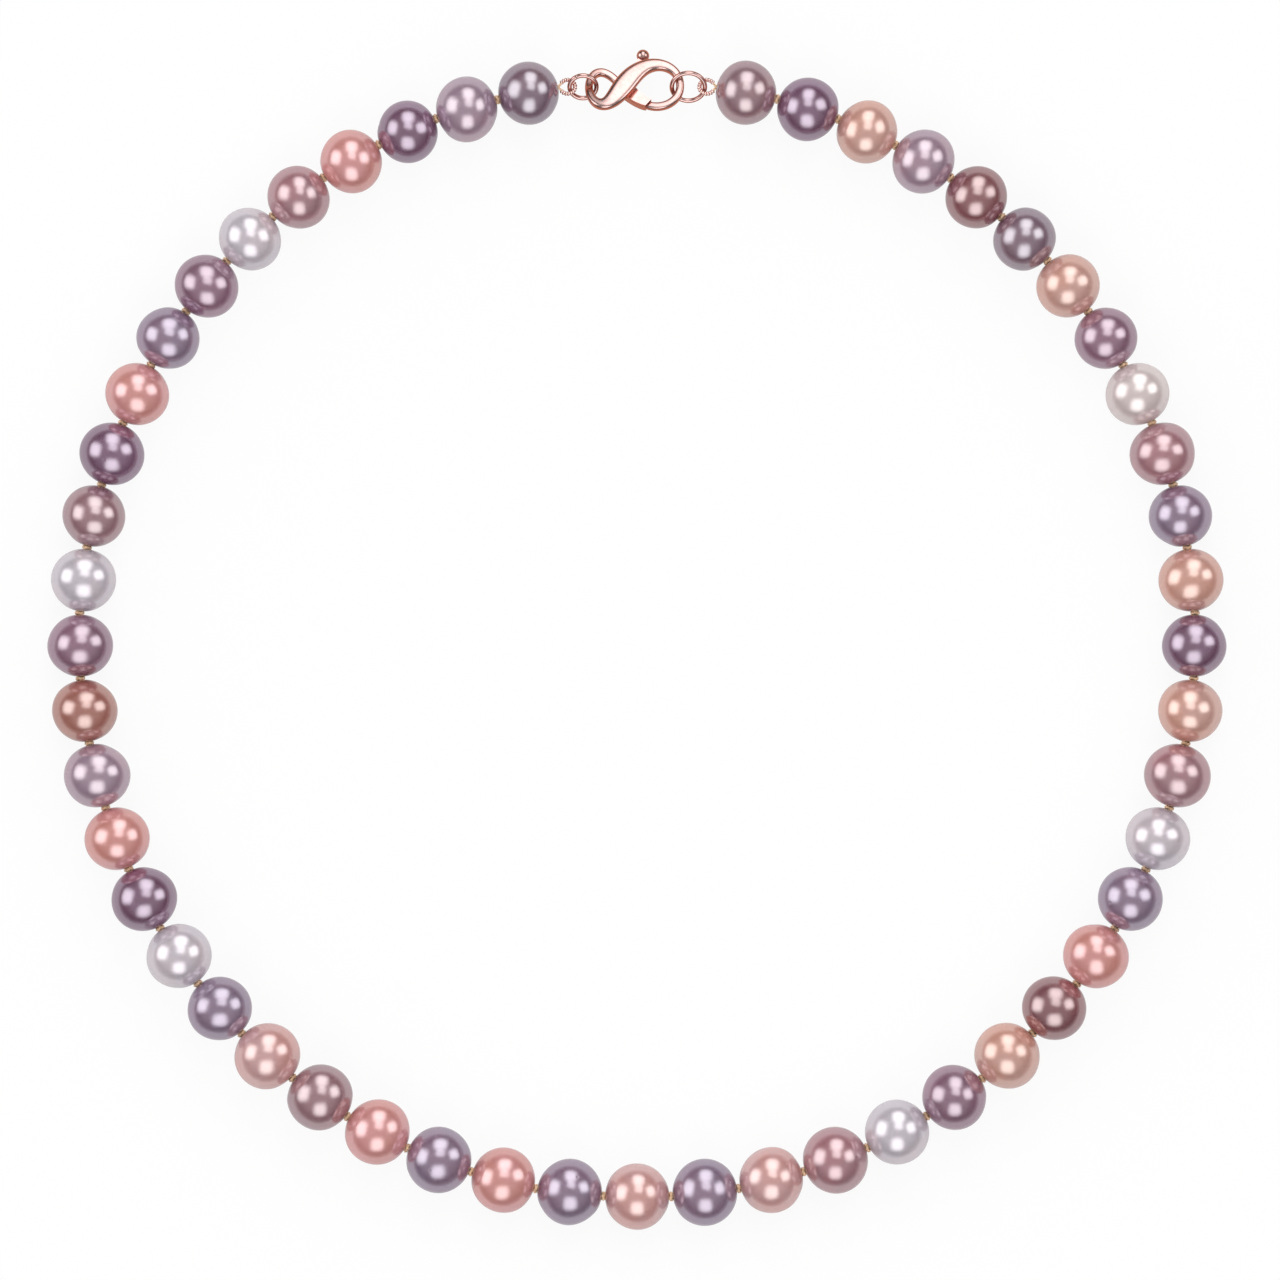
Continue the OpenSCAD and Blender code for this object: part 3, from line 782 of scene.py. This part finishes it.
@dataclass
class SilkThread:
    """The beige thread: a plied length through each pearl, an overhand knot after it, and a loop at either end.

    Attributes:
        plan: The strand.
        finish: The silk.
        ply: How its plies wind.
        strand_d: Thickness of the thread in a knot.
        spread: Width of a knot's centre line as a share of the knot's own.
        press: Least half depth of that line along the strand.
        seed: Start of the random draws.
        leg: From where to where an end loop's legs go into the last pearl.
        leg_aside: Distance of each leg from the pearl's axis.
        leg_r: Radius of an end loop's thread.
    """

    plan: StrandPlan
    finish: SilkFinish = field(default_factory=SilkFinish)
    ply: Twist = Twist(lobes=3, depth=0.16, pitch=0.9)
    strand_d: float = 0.44
    spread: float = 1.12
    press: float = 0.05
    seed: int = 700
    leg: tuple[float, float] = (0.1, 1.4)
    leg_aside: float = 0.12
    leg_r: float = 0.15

    def length_through(self, number: int, steps: int = 40) -> Patch:
        """The straight thread from the knot before a pearl to the knot after it."""
        path = np.linspace(self.plan.knots[number - 1], self.plan.knots[number], steps)
        return tube_patch(path, np.tile(UP, (steps, 1)), self.plan.thread_d / 2, 12, twist=self.ply)

    def knot(self, number: int, steps: int = 72) -> Patch:
        """An overhand knot, drawn tight between two pearls.

        Its centre line is a trefoil, (sin a + 2 sin 2a, cos a - 2 cos 2a, -sin 3a), that lies square to the strand,
        scaled to the knot's width and pressed flat to the gap between the pearls.

        Args:
            number: Which knot: the one after the pearl of that number.
            steps: Points along its centre line.

        Returns:
            The knot.
        """
        rng = np.random.default_rng(self.seed + number)
        angle = full_turn(steps)
        wide = (self.plan.knot_d - self.plan.thread_d) / 2 / 3.0 * self.spread
        gap = (self.plan.gaps[number - 1] + self.plan.gaps[min(number, self.plan.count - 1)]) / 2
        deep = max(self.press, (gap - self.strand_d) / 2 + self.plan.touch)
        heading = self.plan.knot_angle[number] + np.pi / 2
        along = np.append(rim(heading), 0.0)
        aside = np.cross(UP, along)
        right, up = turned(np.sin(angle) + 2 * np.sin(2 * angle), np.cos(angle) - 2 * np.cos(2 * angle),
                           rng.uniform(0.0, TURN))
        path = (self.plan.knots[number] + wide * right[:, None] * aside + wide * up[:, None] * UP
                - deep * np.sin(3 * angle)[:, None] * along)
        return tube_patch(path, np.tile(along, (steps, 1)), self.strand_d / 2, 10, ring=True, twist=self.ply)

    def end_loop(self, side: int) -> Patch:
        """The thread inside a gimp loop and on into the last pearl.

        Args:
            side: -1 at the left of the clasp and 1 at the right.

        Returns:
            The thread.
        """
        plan = self.plan
        gap = np.arcsin((plan.gimp_d / 2 + plan.touch) / plan.gimp_r)
        loop = plan.loop_points(side, np.linspace(np.pi - gap, gap - np.pi, 60), plan.gimp_r, np.zeros(60))
        knot, inner = (plan.knots[0], plan.knots[1]) if side < 0 else (plan.knots[-1], plan.knots[-2])
        leg = knot + unit(inner - knot) * np.linspace(*self.leg, 8)[:, None]
        apart = np.array([0.0, self.leg_aside, 0.0])
        path = np.vstack([leg[::-1] + apart, loop, leg - apart])
        normal = np.array([0.0, np.sin(-np.radians(plan.gimp_tilt)), 1.0])
        return tube_patch(path, np.tile(normal, (len(path), 1)), self.leg_r, 10)

    def build(self) -> None:
        """Makes the thread as one piece per pearl and one per end loop, so that it bends at every hinge."""
        dressed = self.finish.build("silk")
        for number in range(1, self.plan.count + 1):
            patches = [self.length_through(number)] + ([self.knot(number)] if number < self.plan.count else [])
            mesh = mesh_of(f"silk_{number:02d}", patches)
            add_piece(mesh, dressed, self.plan.body(number), "silk", "silk_thread")
        for side, name in SIDES:
            mesh = mesh_of(f"silk_loop_{name}", [self.end_loop(side)])
            add_piece(mesh, dressed, f"loop_{name}", "silk", "silk_thread")


@dataclass
class GimpLoops:
    """French wire at both ends of the strand: a fine wire coiled close into a soft tube over the thread's loop.

    Attributes:
        plan: The strand.
        turns: Turns of the coil.
        steps: Points along a turn.
        wire: Thickness of the wire.
        slim: Drawn thickness as a share of that.
        clear: How far the coil keeps inside the CAD model's tube.
        finish: The wire's metal.
    """

    plan: StrandPlan
    turns: int = 17
    steps: int = 18
    wire: float = 0.3
    slim: float = 0.97
    clear: float = 0.05
    finish: MetalFinish = FRENCH_WIRE

    def coil(self, side: int) -> Patch:
        """The fine wire: a helix of small radius that winds round the loop's centre circle."""
        plan = self.plan
        gap = np.arcsin((plan.gimp_d / 2 + plan.touch) / plan.gimp_r)
        share = np.linspace(0.5 / self.turns, 1 - 0.5 / self.turns, self.turns * self.steps)
        around = -np.pi + gap + share * (TURN - 2 * gap)
        across, lift = rim(TURN * self.turns * share, plan.gimp_d / 2 - self.wire / 2 - self.clear).T
        path = plan.loop_points(side, around, plan.gimp_r + across, lift)
        centre = plan.loop_points(side, around, plan.gimp_r, np.zeros(len(around)))
        return tube_patch(path, path - centre, self.wire / 2 * self.slim, 10)

    def build(self) -> None:
        """Makes both loops."""
        dressed = self.finish.build("french_wire")
        for side, name in SIDES:
            mesh = mesh_of(f"french_wire_{name}", [self.coil(side)])
            add_piece(mesh, dressed, f"loop_{name}", "french_wire", f"gimp_{name}")


@dataclass
class JumpRings:
    """The two wire rings, each sawn open once and closed again with a hairline at the joint.

    Attributes:
        plan: The strand.
        saw: Width of the hairline.
        filed: Thickness of the wire at the cut, as a share of the rest.
        steps: Points along the wire.
        sides: Points round it.
    """

    plan: StrandPlan
    saw: float = 0.03
    filed: float = 0.93
    steps: int = 120
    sides: int = 28

    def ring(self, side: int, radius: float, opening: float) -> Patch:
        """A round wire bent to a circle, with its two flat ends a saw cut apart.

        Args:
            side: -1 at the left of the clasp and 1 at the right.
            radius: Radius of the circle.
            opening: Angle in degrees at which the cut lies.

        Returns:
            The ring.
        """
        plan, half = self.plan, self.saw / 2 / radius
        angle = np.radians(opening) + np.linspace(half, TURN - half, self.steps)
        aside, up = turned(np.sin(angle), np.zeros(self.steps), np.radians(plan.ring_tilt))
        spoke = np.column_stack([np.cos(angle), aside, up])
        middle = np.array([side * (plan.pull_l / 2 - plan.gimp_hold - radius), plan.pull_y, plan.bore_z])
        thick = np.full(self.steps, plan.ring_wire / 2)
        thick[[0, -1]] *= self.filed
        return tube_patch(middle + radius * spoke, spoke, thick, self.sides)

    def build(self, dressed: bpy.types.Material) -> None:
        """Makes both rings in the metal given."""
        cuts = ((self.plan.ring_left_r, 118.0), (self.plan.ring_right_r, 232.0))
        for (side, name), (radius, opening) in zip(SIDES, cuts):
            mesh = mesh_of(f"wire_ring_{name}", [self.ring(side, radius, opening)], 50.0)
            add_piece(mesh, dressed, f"ring_{name}", "rose_gold", f"jump_ring_{name}")


# ---------------------------------------------------------------- clasp


@dataclass
class InfinityClasp:
    """The clasp: a band bent to a figure of eight with an eye and a hook, and between its strands a sprung lever.

    Sizes are in millimetres and angles in degrees, in the clasp's own frame: its origin is the lever's pin, in the
    crossing, x points to the hook and z to the front.

    Attributes:
        bias: How much longer the hook's half of the eight is than the eye's.
        tip, end: Angles of the eight at which the band starts and ends.
        face: Exponents of the band's section, across and up.
        blunt, blunt_over: Share of the width left at the band's ends, and degrees over which it narrows to that.
        gate_from, gate_to: Angles of the eight between which the gate lies.
        gate_short: How much less deep than the band the gate is.
        gate_hold: Radius inside the hub that the gate starts from.
        gate_room: Degrees cleared on the gate's shut side.
        arm_taper: Share of the arm's width that it loses towards the ball.
        dome: Reach and height of each ring of the rivet's dome.
        leaf_off: Degrees from the middles of arm and post to two points on the leaf; their places are worked out but
            not used.
        hair: Distance between faces that would share a plane.
        crease, bevel_from: Degrees from which an edge stays sharp, and from which it is rounded.
    """

    plan: StrandPlan
    eight_h: float = 5.6
    bias: float = 2.34
    turn: float = 3.0
    mid_w: float = 2.8
    mid_t: float = 1.25
    end_t: float = 1.15
    back_t: float = 0.9
    pin_d: float = 0.7
    lever_t: float = 0.5
    gate_l: float = 3.85
    gate_tip_w: float = 1.05
    gate_root_w: float = 1.9
    knob_d: float = 1.65
    knob_reach: float = 5.35
    tilt: float = 32.0
    sink: float = 0.1
    swing: float = 26.0
    hub_d: float = 2.2
    arm_w: float = 0.8
    gate_angle: float = -39.0
    knob_angle: float = 65.0
    post_d: float = 0.4
    post_angle: float = 186.0
    spring_t: float = 0.14
    spring_w: float = 0.4
    tip: float = -50.0
    end: float = 288.0
    face: tuple[float, float] = (0.6, 0.72)
    blunt: float = 0.75
    blunt_over: float = 3.0
    gate_from: float = 276.0
    gate_to: float = 318.0
    gate_short: float = 0.15
    gate_hold: float = 0.6
    gate_room: float = 26.0
    arm_taper: float = 0.25
    dome: tuple[tuple[float, float], ...] = ((0.15, -0.06), (0.5, -0.05), (0.8, -0.03), (0.95, -0.01), (1.0, 0.02))
    leaf_off: tuple[float, float] = (22.0, 12.0)
    hair: float = 0.004
    crease: float = 38.0
    bevel_from: float = 40.0
    lever_bevel: float = 0.07
    post_bevel: float = 0.03

    def __post_init__(self) -> None:
        """Works out the heights of the two strands and the place of the crossing."""
        self.front_z = self.lever_t / 2 + self.plan.run + self.mid_t / 2
        self.back_z = -self.lever_t / 2 - self.plan.run - self.back_t / 2
        self.gate_low = -self.lever_t / 2 - self.plan.run - self.back_t + self.gate_short
        self.spring_r = self.hub_d / 2 + self.plan.run + self.post_d / 2
        plan = self.plan
        self.crossing_x = (-plan.pull_l / 2 + plan.gimp_hold + 2 * plan.ring_left_r - plan.eye_inset
                           + (plan.eight_l - self.bias) / 2)

    def placed(self, points: np.ndarray) -> np.ndarray:
        """Points of the clasp's own frame, turned about the line of pull and set on it."""
        aside, up = turned(points[..., 1] - self.sink, points[..., 2], np.radians(-self.tilt))
        return np.stack([self.crossing_x + points[..., 0], self.plan.pull_y + aside, self.plan.bore_z + up], axis=-1)

    def place(self, patch: Patch) -> Patch:
        """A patch of the clasp's own frame, in its place."""
        return replace(patch, points=self.placed(patch.points))

    def centre_line(self, angle: np.ndarray) -> np.ndarray:
        """The eight: a lemniscate, longer at the hook, in front over one half and at the back over the other.

        x = l cos t / (1 + sin^2 t) and y = h sin t cos t / (1 + sin^2 t). The height, as a share of a strand's, is
        sin t (sin^2 t + 0.0025)^-0.2: steep near the ends of the eight, level over the crossing.

        Args:
            angle: Parameter t in degrees; 0 is the hook's end, 180 the eye's, and the band is in front between them.

        Returns:
            Points of the band's centre line in the clasp's frame.
        """
        s, c = np.sin(np.radians(angle)), np.cos(np.radians(angle))
        x = (self.plan.eight_l / 2 + self.bias / 2 * c) * c / (1 + s ** 2)
        y = self.eight_h * np.sqrt(2) * s * c / (1 + s ** 2)
        z = np.where(s > 0, self.front_z, -self.back_z) * s * (s ** 2 + 0.0025) ** -0.2
        return np.stack([*turned(x, y, np.radians(self.turn)), z], axis=-1)

    def aside(self, angle: np.ndarray) -> np.ndarray:
        """Level direction square to the eight at each angle."""
        ahead = self.centre_line(angle + 0.5) - self.centre_line(angle - 0.5)
        ahead[..., 2] = 0.0
        return np.cross(UP, unit(ahead))

    def band(self, steps: int = 340, sides: int = 44) -> Patch:
        """The band: at each point of the eight a rounded oblong, as wide and deep as the strand is there.

        The oblong is x = |cos a|^0.6, y = |sin a|^0.72 with their signs: nearly flat faces and walls, and round
        edges. Over the last few degrees the band narrows along a quarter of an ellipse.
        """
        angle = np.linspace(self.tip, self.end, steps)
        s = np.sin(np.radians(angle))
        wide = self.plan.band_end_w + (self.mid_w - self.plan.band_end_w) * np.maximum(0.0, s) ** 2
        deep = self.end_t + np.where(s > 0, self.mid_t - self.end_t, self.end_t - self.back_t) * s
        near_end = np.clip(np.minimum(angle - self.tip, self.end - angle) / self.blunt_over, 0.0, 1.0)
        wide = wide * (self.blunt + (1 - self.blunt) * np.sqrt(1 - (1 - near_end) ** 2))
        turn = full_turn(sides) + np.pi / sides
        over, up = (np.sign(part) * np.abs(part) ** power for part, power in zip(rim(turn).T, self.face))
        over, up = (wide[:, None] / 2 * over)[..., None], (deep[:, None] / 2 * up)[..., None]
        points = self.centre_line(angle)[:, None] + over * self.aside(angle)[:, None] + up * UP
        return grid_patch(points, False, angle / 30.0)

    def sector(self, inner: float, outer: float, start: float, stop: float, steps: int = 24) -> np.ndarray:
        """Outline of a ring's sector between two angles in degrees."""
        arc = rim(np.radians(np.linspace(start, stop, steps)))
        return np.vstack([outer * arc, inner * arc[::-1]])

    def lever_room(self) -> list[Patch]:
        """Prisms that clear the lever's way between the strands, over its whole swing.

        Their faces lie a hair apart, so that no two of them share a plane.
        """
        run, hair = self.plan.run, 0.75 * self.hair
        half = self.lever_t / 2 + run
        gate = np.degrees(np.arcsin(self.gate_root_w / 2 / self.gate_l)) + 2
        knob = np.degrees(np.arcsin(self.knob_d / 2 / self.knob_reach)) + 1
        from_gate, to_gate = self.gate_angle - gate - self.gate_room, self.gate_angle + gate + self.swing
        from_knob, to_knob = self.knob_angle - knob, self.knob_angle + self.swing + knob
        hub = rim(full_turn(64), self.hub_d / 2 + run)
        gate_room = self.sector(self.hub_d / 2, self.gate_l + run, from_gate, to_gate)
        arm_room = self.sector(0.5, self.knob_reach, from_knob, to_knob)
        knob_room = self.sector(self.knob_reach - self.knob_d / 2 - run, self.knob_reach + self.knob_d,
                                from_knob, to_knob)
        return [prism_patch(hub, -half, half), prism_patch(gate_room, self.gate_low - run, half + hair),
                prism_patch(arm_room, -half - 2 * hair, half + 2 * hair),
                prism_patch(knob_room, -self.knob_d / 2 - run, self.knob_d / 2 + run)]

    def post(self) -> Patch:
        """The small post that the spring leans on, under the front strand."""
        disc = rim(full_turn(24), self.post_d / 2) + rim(np.radians(self.post_angle), self.spring_r)
        return self.place(prism_patch(disc, -self.spring_w / 2, self.front_z))

    def body_mesh(self) -> bpy.types.Mesh:
        """The band less the lever's room: cut in millimetres in the clasp's frame, then put in its place."""
        band = new_object("band", mesh_of("band", [self.band()], scale=1.0))
        cutters = [new_object(f"cut_{number}", mesh_of(f"cut_{number}", [patch], scale=1.0))
                   for number, patch in enumerate(self.lever_room())]
        for cutter in cutters:
            cut = band.modifiers.new(cutter.name, "BOOLEAN")
            cut.operation, cut.solver, cut.object = "DIFFERENCE", "EXACT", cutter
        bpy.context.view_layer.update()
        mesh = bpy.data.meshes.new_from_object(band.evaluated_get(bpy.context.evaluated_depsgraph_get()))
        for spare in [band, *cutters]:
            bpy.data.objects.remove(spare)
        mesh.name = "infinity_band"
        mesh.materials.clear()
        points = np.empty(3 * len(mesh.vertices), np.float32)
        mesh.vertices.foreach_get("co", points)
        points = self.placed(points.reshape(-1, 3).astype(float)) * MM
        mesh.vertices.foreach_set("co", points.astype(np.float32).ravel())
        mesh.update()
        mesh.set_sharp_from_angle(angle=np.radians(self.crease))
        return mesh

    def gate_outline(self, inner: float, steps: int = 28) -> np.ndarray:
        """Flat outline of the gate: it follows the eight, narrows to its tip, and both ends are arcs about the pin.

        Args:
            inner: Radius of the arc at the end by the pin.
            steps: Points along each edge.

        Returns:
            Points of the outline.
        """
        angle = np.linspace(self.gate_from, self.gate_to, 200)
        share = (angle - self.gate_from) / (self.gate_to - self.gate_from)
        wide = self.gate_root_w + (self.gate_tip_w - self.gate_root_w) * share
        line, aside = self.centre_line(angle)[:, :2], self.aside(angle)[:, :2]
        edges = []
        for way in (1.0, -1.0):
            edge = line + way * (wide / 2)[:, None] * aside
            far = np.linalg.norm(edge, axis=1)
            reach = np.linspace(max(inner, far.min()), self.gate_l, steps)
            keep = np.argmin(far)
            edges.append(np.column_stack([np.interp(reach, far[keep:], edge[keep:, axis]) for axis in (0, 1)]))
        return np.vstack([edges[0], edges[1][::-1]])

    def lever_patches(self) -> list[Patch]:
        """The lever: a round hub on the pin, the gate on one side of it, the arm with its thumb ball on the other.

        Their faces lie a hair apart, so that no two of them share a plane.
        """
        half, hair = self.lever_t / 2, self.hair
        ahead = rim(np.radians(self.knob_angle))
        share = np.linspace(0.0, 1.0, 24)[:, None]
        middle = self.knob_reach * share * ahead
        slim = self.arm_w / 2 * (1 - self.arm_taper * share) * np.array([-ahead[1], ahead[0]])
        arm = np.vstack([middle + slim, (middle - slim)[::-1]])
        return [self.place(patch) for patch in (
            prism_patch(rim(full_turn(64), self.hub_d / 2), -half + hair, half - hair),
            prism_patch(self.gate_outline(self.gate_hold), -half, half - 3 * hair),
            prism_patch(self.gate_outline(self.hub_d / 2 + 2 * self.plan.run), self.gate_low, half),
            prism_patch(arm, -half + 2 * hair, half - 2 * hair),
            ball_patch(np.append(self.knob_reach * ahead, 0.0), self.knob_d / 2, 48, 64))]

    def pin_patch(self) -> Patch:
        """The pin, riveted at the back: its end is a shallow dome that stands a little proud.

        Each ring of the dome has a reach, as a share of the pin's radius, and a height over the band's back.
        """
        reach, height = np.array([*self.dome, (1.0, 0.0)]).T
        height = np.append(self.back_z - self.back_t / 2 + height[:-1], self.front_z)
        return self.place(grid_patch(lathe(self.pin_d / 2 * reach, height, 40), False, height))

    def leaf_patch(self) -> Patch:
        """The spring: a thin leaf bent round the hub from the arm to the post."""
        arm, post = (np.degrees(np.arcsin(size / 2 / self.spring_r)) + 1 for size in (self.arm_w, self.post_d))
        outline = self.sector(self.spring_r - self.spring_t / 2, self.spring_r + self.spring_t / 2,
                              self.knob_angle + arm, self.post_angle - post, 40)
        return self.place(prism_patch(outline, -self.spring_w / 2, self.spring_w / 2))

    def round_edges(self, piece: bpy.types.Object, width: float, steps: int = 3) -> None:
        """Rounds the sharp edges of a piece by a bevel of that width in millimetres."""
        bevel = piece.modifiers.new("rounded", "BEVEL")
        bevel.width, bevel.segments = width * MM, steps
        bevel.limit_method, bevel.angle_limit = "ANGLE", np.radians(self.bevel_from)
        bevel.harden_normals = True

    def build(self, dressed: bpy.types.Material) -> None:
        """Makes the clasp's four pieces in the metal given, and its steel leaf."""
        add_piece(self.body_mesh(), dressed, "clasp", "rose_gold", "clasp_body")
        lever = mesh_of("sprung_lever", self.lever_patches(), self.crease)
        self.round_edges(add_piece(lever, dressed, "lever", "rose_gold", "clasp_lever"), self.lever_bevel)
        add_piece(mesh_of("rivet", [self.pin_patch()], 60.0), dressed, "clasp", "rose_gold", "clasp_pivot_pin")
        post = mesh_of("spring_post", [self.post()], self.crease)
        self.round_edges(add_piece(post, dressed, "clasp", "rose_gold"), self.post_bevel)
        steel = SPRING_STEEL.build("spring_steel")
        leaf = add_piece(mesh_of("leaf_spring", [self.leaf_patch()], self.crease), steel, "clasp", "spring_steel",
                         "clasp_spring")
        off_arm, off_post = self.leaf_off
        ends = rim(np.radians([self.knob_angle + off_arm, self.post_angle - off_post]), self.spring_r)
        ends = self.placed(np.column_stack([ends, np.zeros(2)])) * MM
        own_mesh(leaf)


# ---------------------------------------------------------------- studio


@dataclass(frozen=True)
class SoftBox:
    """A soft box so far off that every pearl sees it in the same direction.

    Attributes:
        bearing: Direction in degrees, 0 towards the clasp (+Y), 90 towards +X.
        lean: Degrees down from straight above.
        width: Degrees that it spans across.
        height: Degrees that it spans up and down.
        light: Brightness of its middle, where 1 is white.
        fade: How soft its edge is, from 0, hard, to 1.
    """

    bearing: float
    lean: float
    width: float
    height: float
    light: float
    fade: float = 0.55

    def axes(self) -> tuple[np.ndarray, np.ndarray, np.ndarray]:
        """Directions to its middle, to its side and to its top."""
        lean, bearing = np.radians(self.lean), np.radians(self.bearing)
        ahead = np.array([np.sin(lean) * np.sin(bearing), np.sin(lean) * np.cos(bearing), np.cos(lean)])
        side = unit(np.cross(UP, ahead))
        return ahead, side, np.cross(ahead, side)


@dataclass
class Studio:
    """A white table under soft boxes in a dim room, and the camera straight above.

    Attributes:
        overhead: Brightness of the room overhead.
        horizon: Its brightness at the height of the table.
        white_share: How far the table shines by itself, to the camera and in reflections, instead of being lit.
        low_angle: From where to where, by Blender's Facing, a reflection of the table turns dim.
        mirrored: Its brightness in reflections before and after that.
        table_half: Half the table's side, in metres.
        middle: Middle of the picture, in millimetres.
        across: Width of the frame, in millimetres.
        eye: Height of the camera, in metres.
        boxes: The soft boxes.
    """

    overhead: float = 0.33
    horizon: float = 0.05
    white_share: float = 0.9
    low_angle: tuple[float, float] = (0.70, 0.90)
    mirrored: tuple[float, float] = (0.75, 0.15)
    table_half: float = 6.0
    middle: tuple[float, float] = (0.36, -0.07)
    across: float = 166.4
    eye: float = 0.6
    boxes: tuple[SoftBox, ...] = (
        SoftBox(5.0, 58.0, 38.0, 43.0, 2.5),
        SoftBox(12.0, 24.0, 30.0, 25.0, 1.8),
        SoftBox(-77.0, 64.5, 42.0, 42.0, 2.5),
        SoftBox(72.0, 58.0, 31.0, 36.0, 2.4),
        SoftBox(180.0, 45.0, 42.0, 47.0, 2.2))

    def box_light(self, sheet: NodeSheet, way: bpy.types.NodeSocket, box: SoftBox) -> bpy.types.NodeSocket:
        """Light of a soft box along a direction.

        The direction's places across and up the box, x and y, each as a share of its half span, give r with
        r^3 = |x|^3 + |y|^3. The light falls smoothly from r = 1 - fade to r = 1 + fade.

        Args:
            sheet: The room's node tree.
            way: Direction looked in.
            box: The soft box.

        Returns:
            The light.
        """
        ahead, side, up = (
            sheet.node("ShaderNodeVectorMath", {0: way, 1: tuple(axis)}, operation="DOT_PRODUCT").outputs["Value"]
            for axis in box.axes())
        front = sheet.math("MAXIMUM", ahead, 0.001)
        cubes = []
        for place, span in ((side, box.width), (up, box.height)):
            half = sheet.math("MULTIPLY", front, float(np.tan(np.radians(span / 2))))
            share = sheet.math("DIVIDE", sheet.math("ABSOLUTE", place), half)
            cubes.append(sheet.math("POWER", sheet.math("MINIMUM", share, 9.0), 3.0))
        reach = sheet.math("POWER", sheet.math("ADD", *cubes), 1.0 / 3.0)
        return sheet.span(reach, 1.0 - box.fade, 1.0 + box.fade, box.light, 0.0)

    def room(self) -> None:
        """The dim room with its soft boxes: grey overhead, dark at the horizon, and white to the camera alone."""
        world = bpy.data.worlds.new("room")
        bpy.context.scene.world = world
        world.use_nodes = True
        sheet = NodeSheet(world.node_tree)
        way = sheet.node("ShaderNodeTexCoord").outputs["Generated"]
        height = sheet.node("ShaderNodeSeparateXYZ", {0: way}).outputs[2]
        light = sheet.span(height, 0.05, 0.8, self.horizon, self.overhead)
        for box in self.boxes:
            light = sheet.math("ADD", light, self.box_light(sheet, way, box))
        seen = sheet.blend(sheet.node("ShaderNodeLightPath").outputs["Is Camera Ray"], light, WHITE)
        glow = sheet.node("ShaderNodeBackground", {"Color": seen, "Strength": 1.0})
        sheet.tree.links.new(glow.outputs[0], sheet.node("ShaderNodeOutputWorld").inputs[0])
        LOG.info("room: %d soft boxes", len(self.boxes))

    def table(self) -> None:
        """The white table: it keeps a soft shadow, and to the camera and in reflections it is white.

        It is polished, so at a low angle a reflection of it shows the dim room instead.
        """
        material, sheet = NodeSheet.material("white_table")
        path = sheet.node("ShaderNodeLightPath").outputs
        facing = sheet.node("ShaderNodeLayerWeight", {"Blend": 0.5}).outputs["Facing"]
        polish = sheet.span(facing, *self.low_angle, *self.mirrored)
        matt = sheet.node("ShaderNodeBsdfDiffuse", {"Color": (0.9, 0.9, 0.9, 1.0)}).outputs[0]
        white, mirrored = (sheet.node("ShaderNodeEmission", {"Color": WHITE, "Strength": strength}).outputs[0]
                           for strength in (1.0, polish))
        seen, share = (sheet.math("MULTIPLY", path[ray], self.white_share)
                       for ray in ("Is Camera Ray", "Is Glossy Ray"))
        seen = sheet.node("ShaderNodeMixShader", {0: seen, 1: matt, 2: white}).outputs[0]
        sheet.finish(sheet.node("ShaderNodeMixShader", {0: share, 1: seen, 2: mirrored}).outputs[0])
        mesh = bpy.data.meshes.new("table_top")
        corners = [(x * self.table_half, y * self.table_half, 0.0) for x, y in ((-1, -1), (1, -1), (1, 1), (-1, 1))]
        mesh.from_pydata(corners, [], [(0, 1, 2, 3)])
        top = new_object("table_top", mesh)
        mesh.materials.append(material)

    def camera(self) -> None:
        """The camera, straight above the loop, with level sight lines all over the frame."""
        lens = bpy.data.cameras.new("camera")
        lens.type = "ORTHO"
        lens.ortho_scale = self.across * MM
        stand = new_object("camera", lens)
        stand.location = (self.middle[0] * MM, self.middle[1] * MM, self.eye)
        bpy.context.scene.camera = stand

    def build(self) -> None:
        """Sets the whole studio up."""
        self.room()
        self.table()
        self.camera()
        bpy.context.scene.view_settings.view_transform = "Standard"


def main() -> None:
    """Builds the necklace and its studio."""
    logging.basicConfig(level=logging.INFO, format="%(name)s: %(message)s")
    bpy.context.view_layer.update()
    plan = StrandPlan()
    Pearls(plan).build()
    SilkThread(plan).build()
    GimpLoops(plan).build()
    metal = ROSE_GOLD.build("rose_gold")
    JumpRings(plan).build(metal)
    InfinityClasp(plan).build(metal)
    Studio().build()


if __name__ == "__main__":
    main()
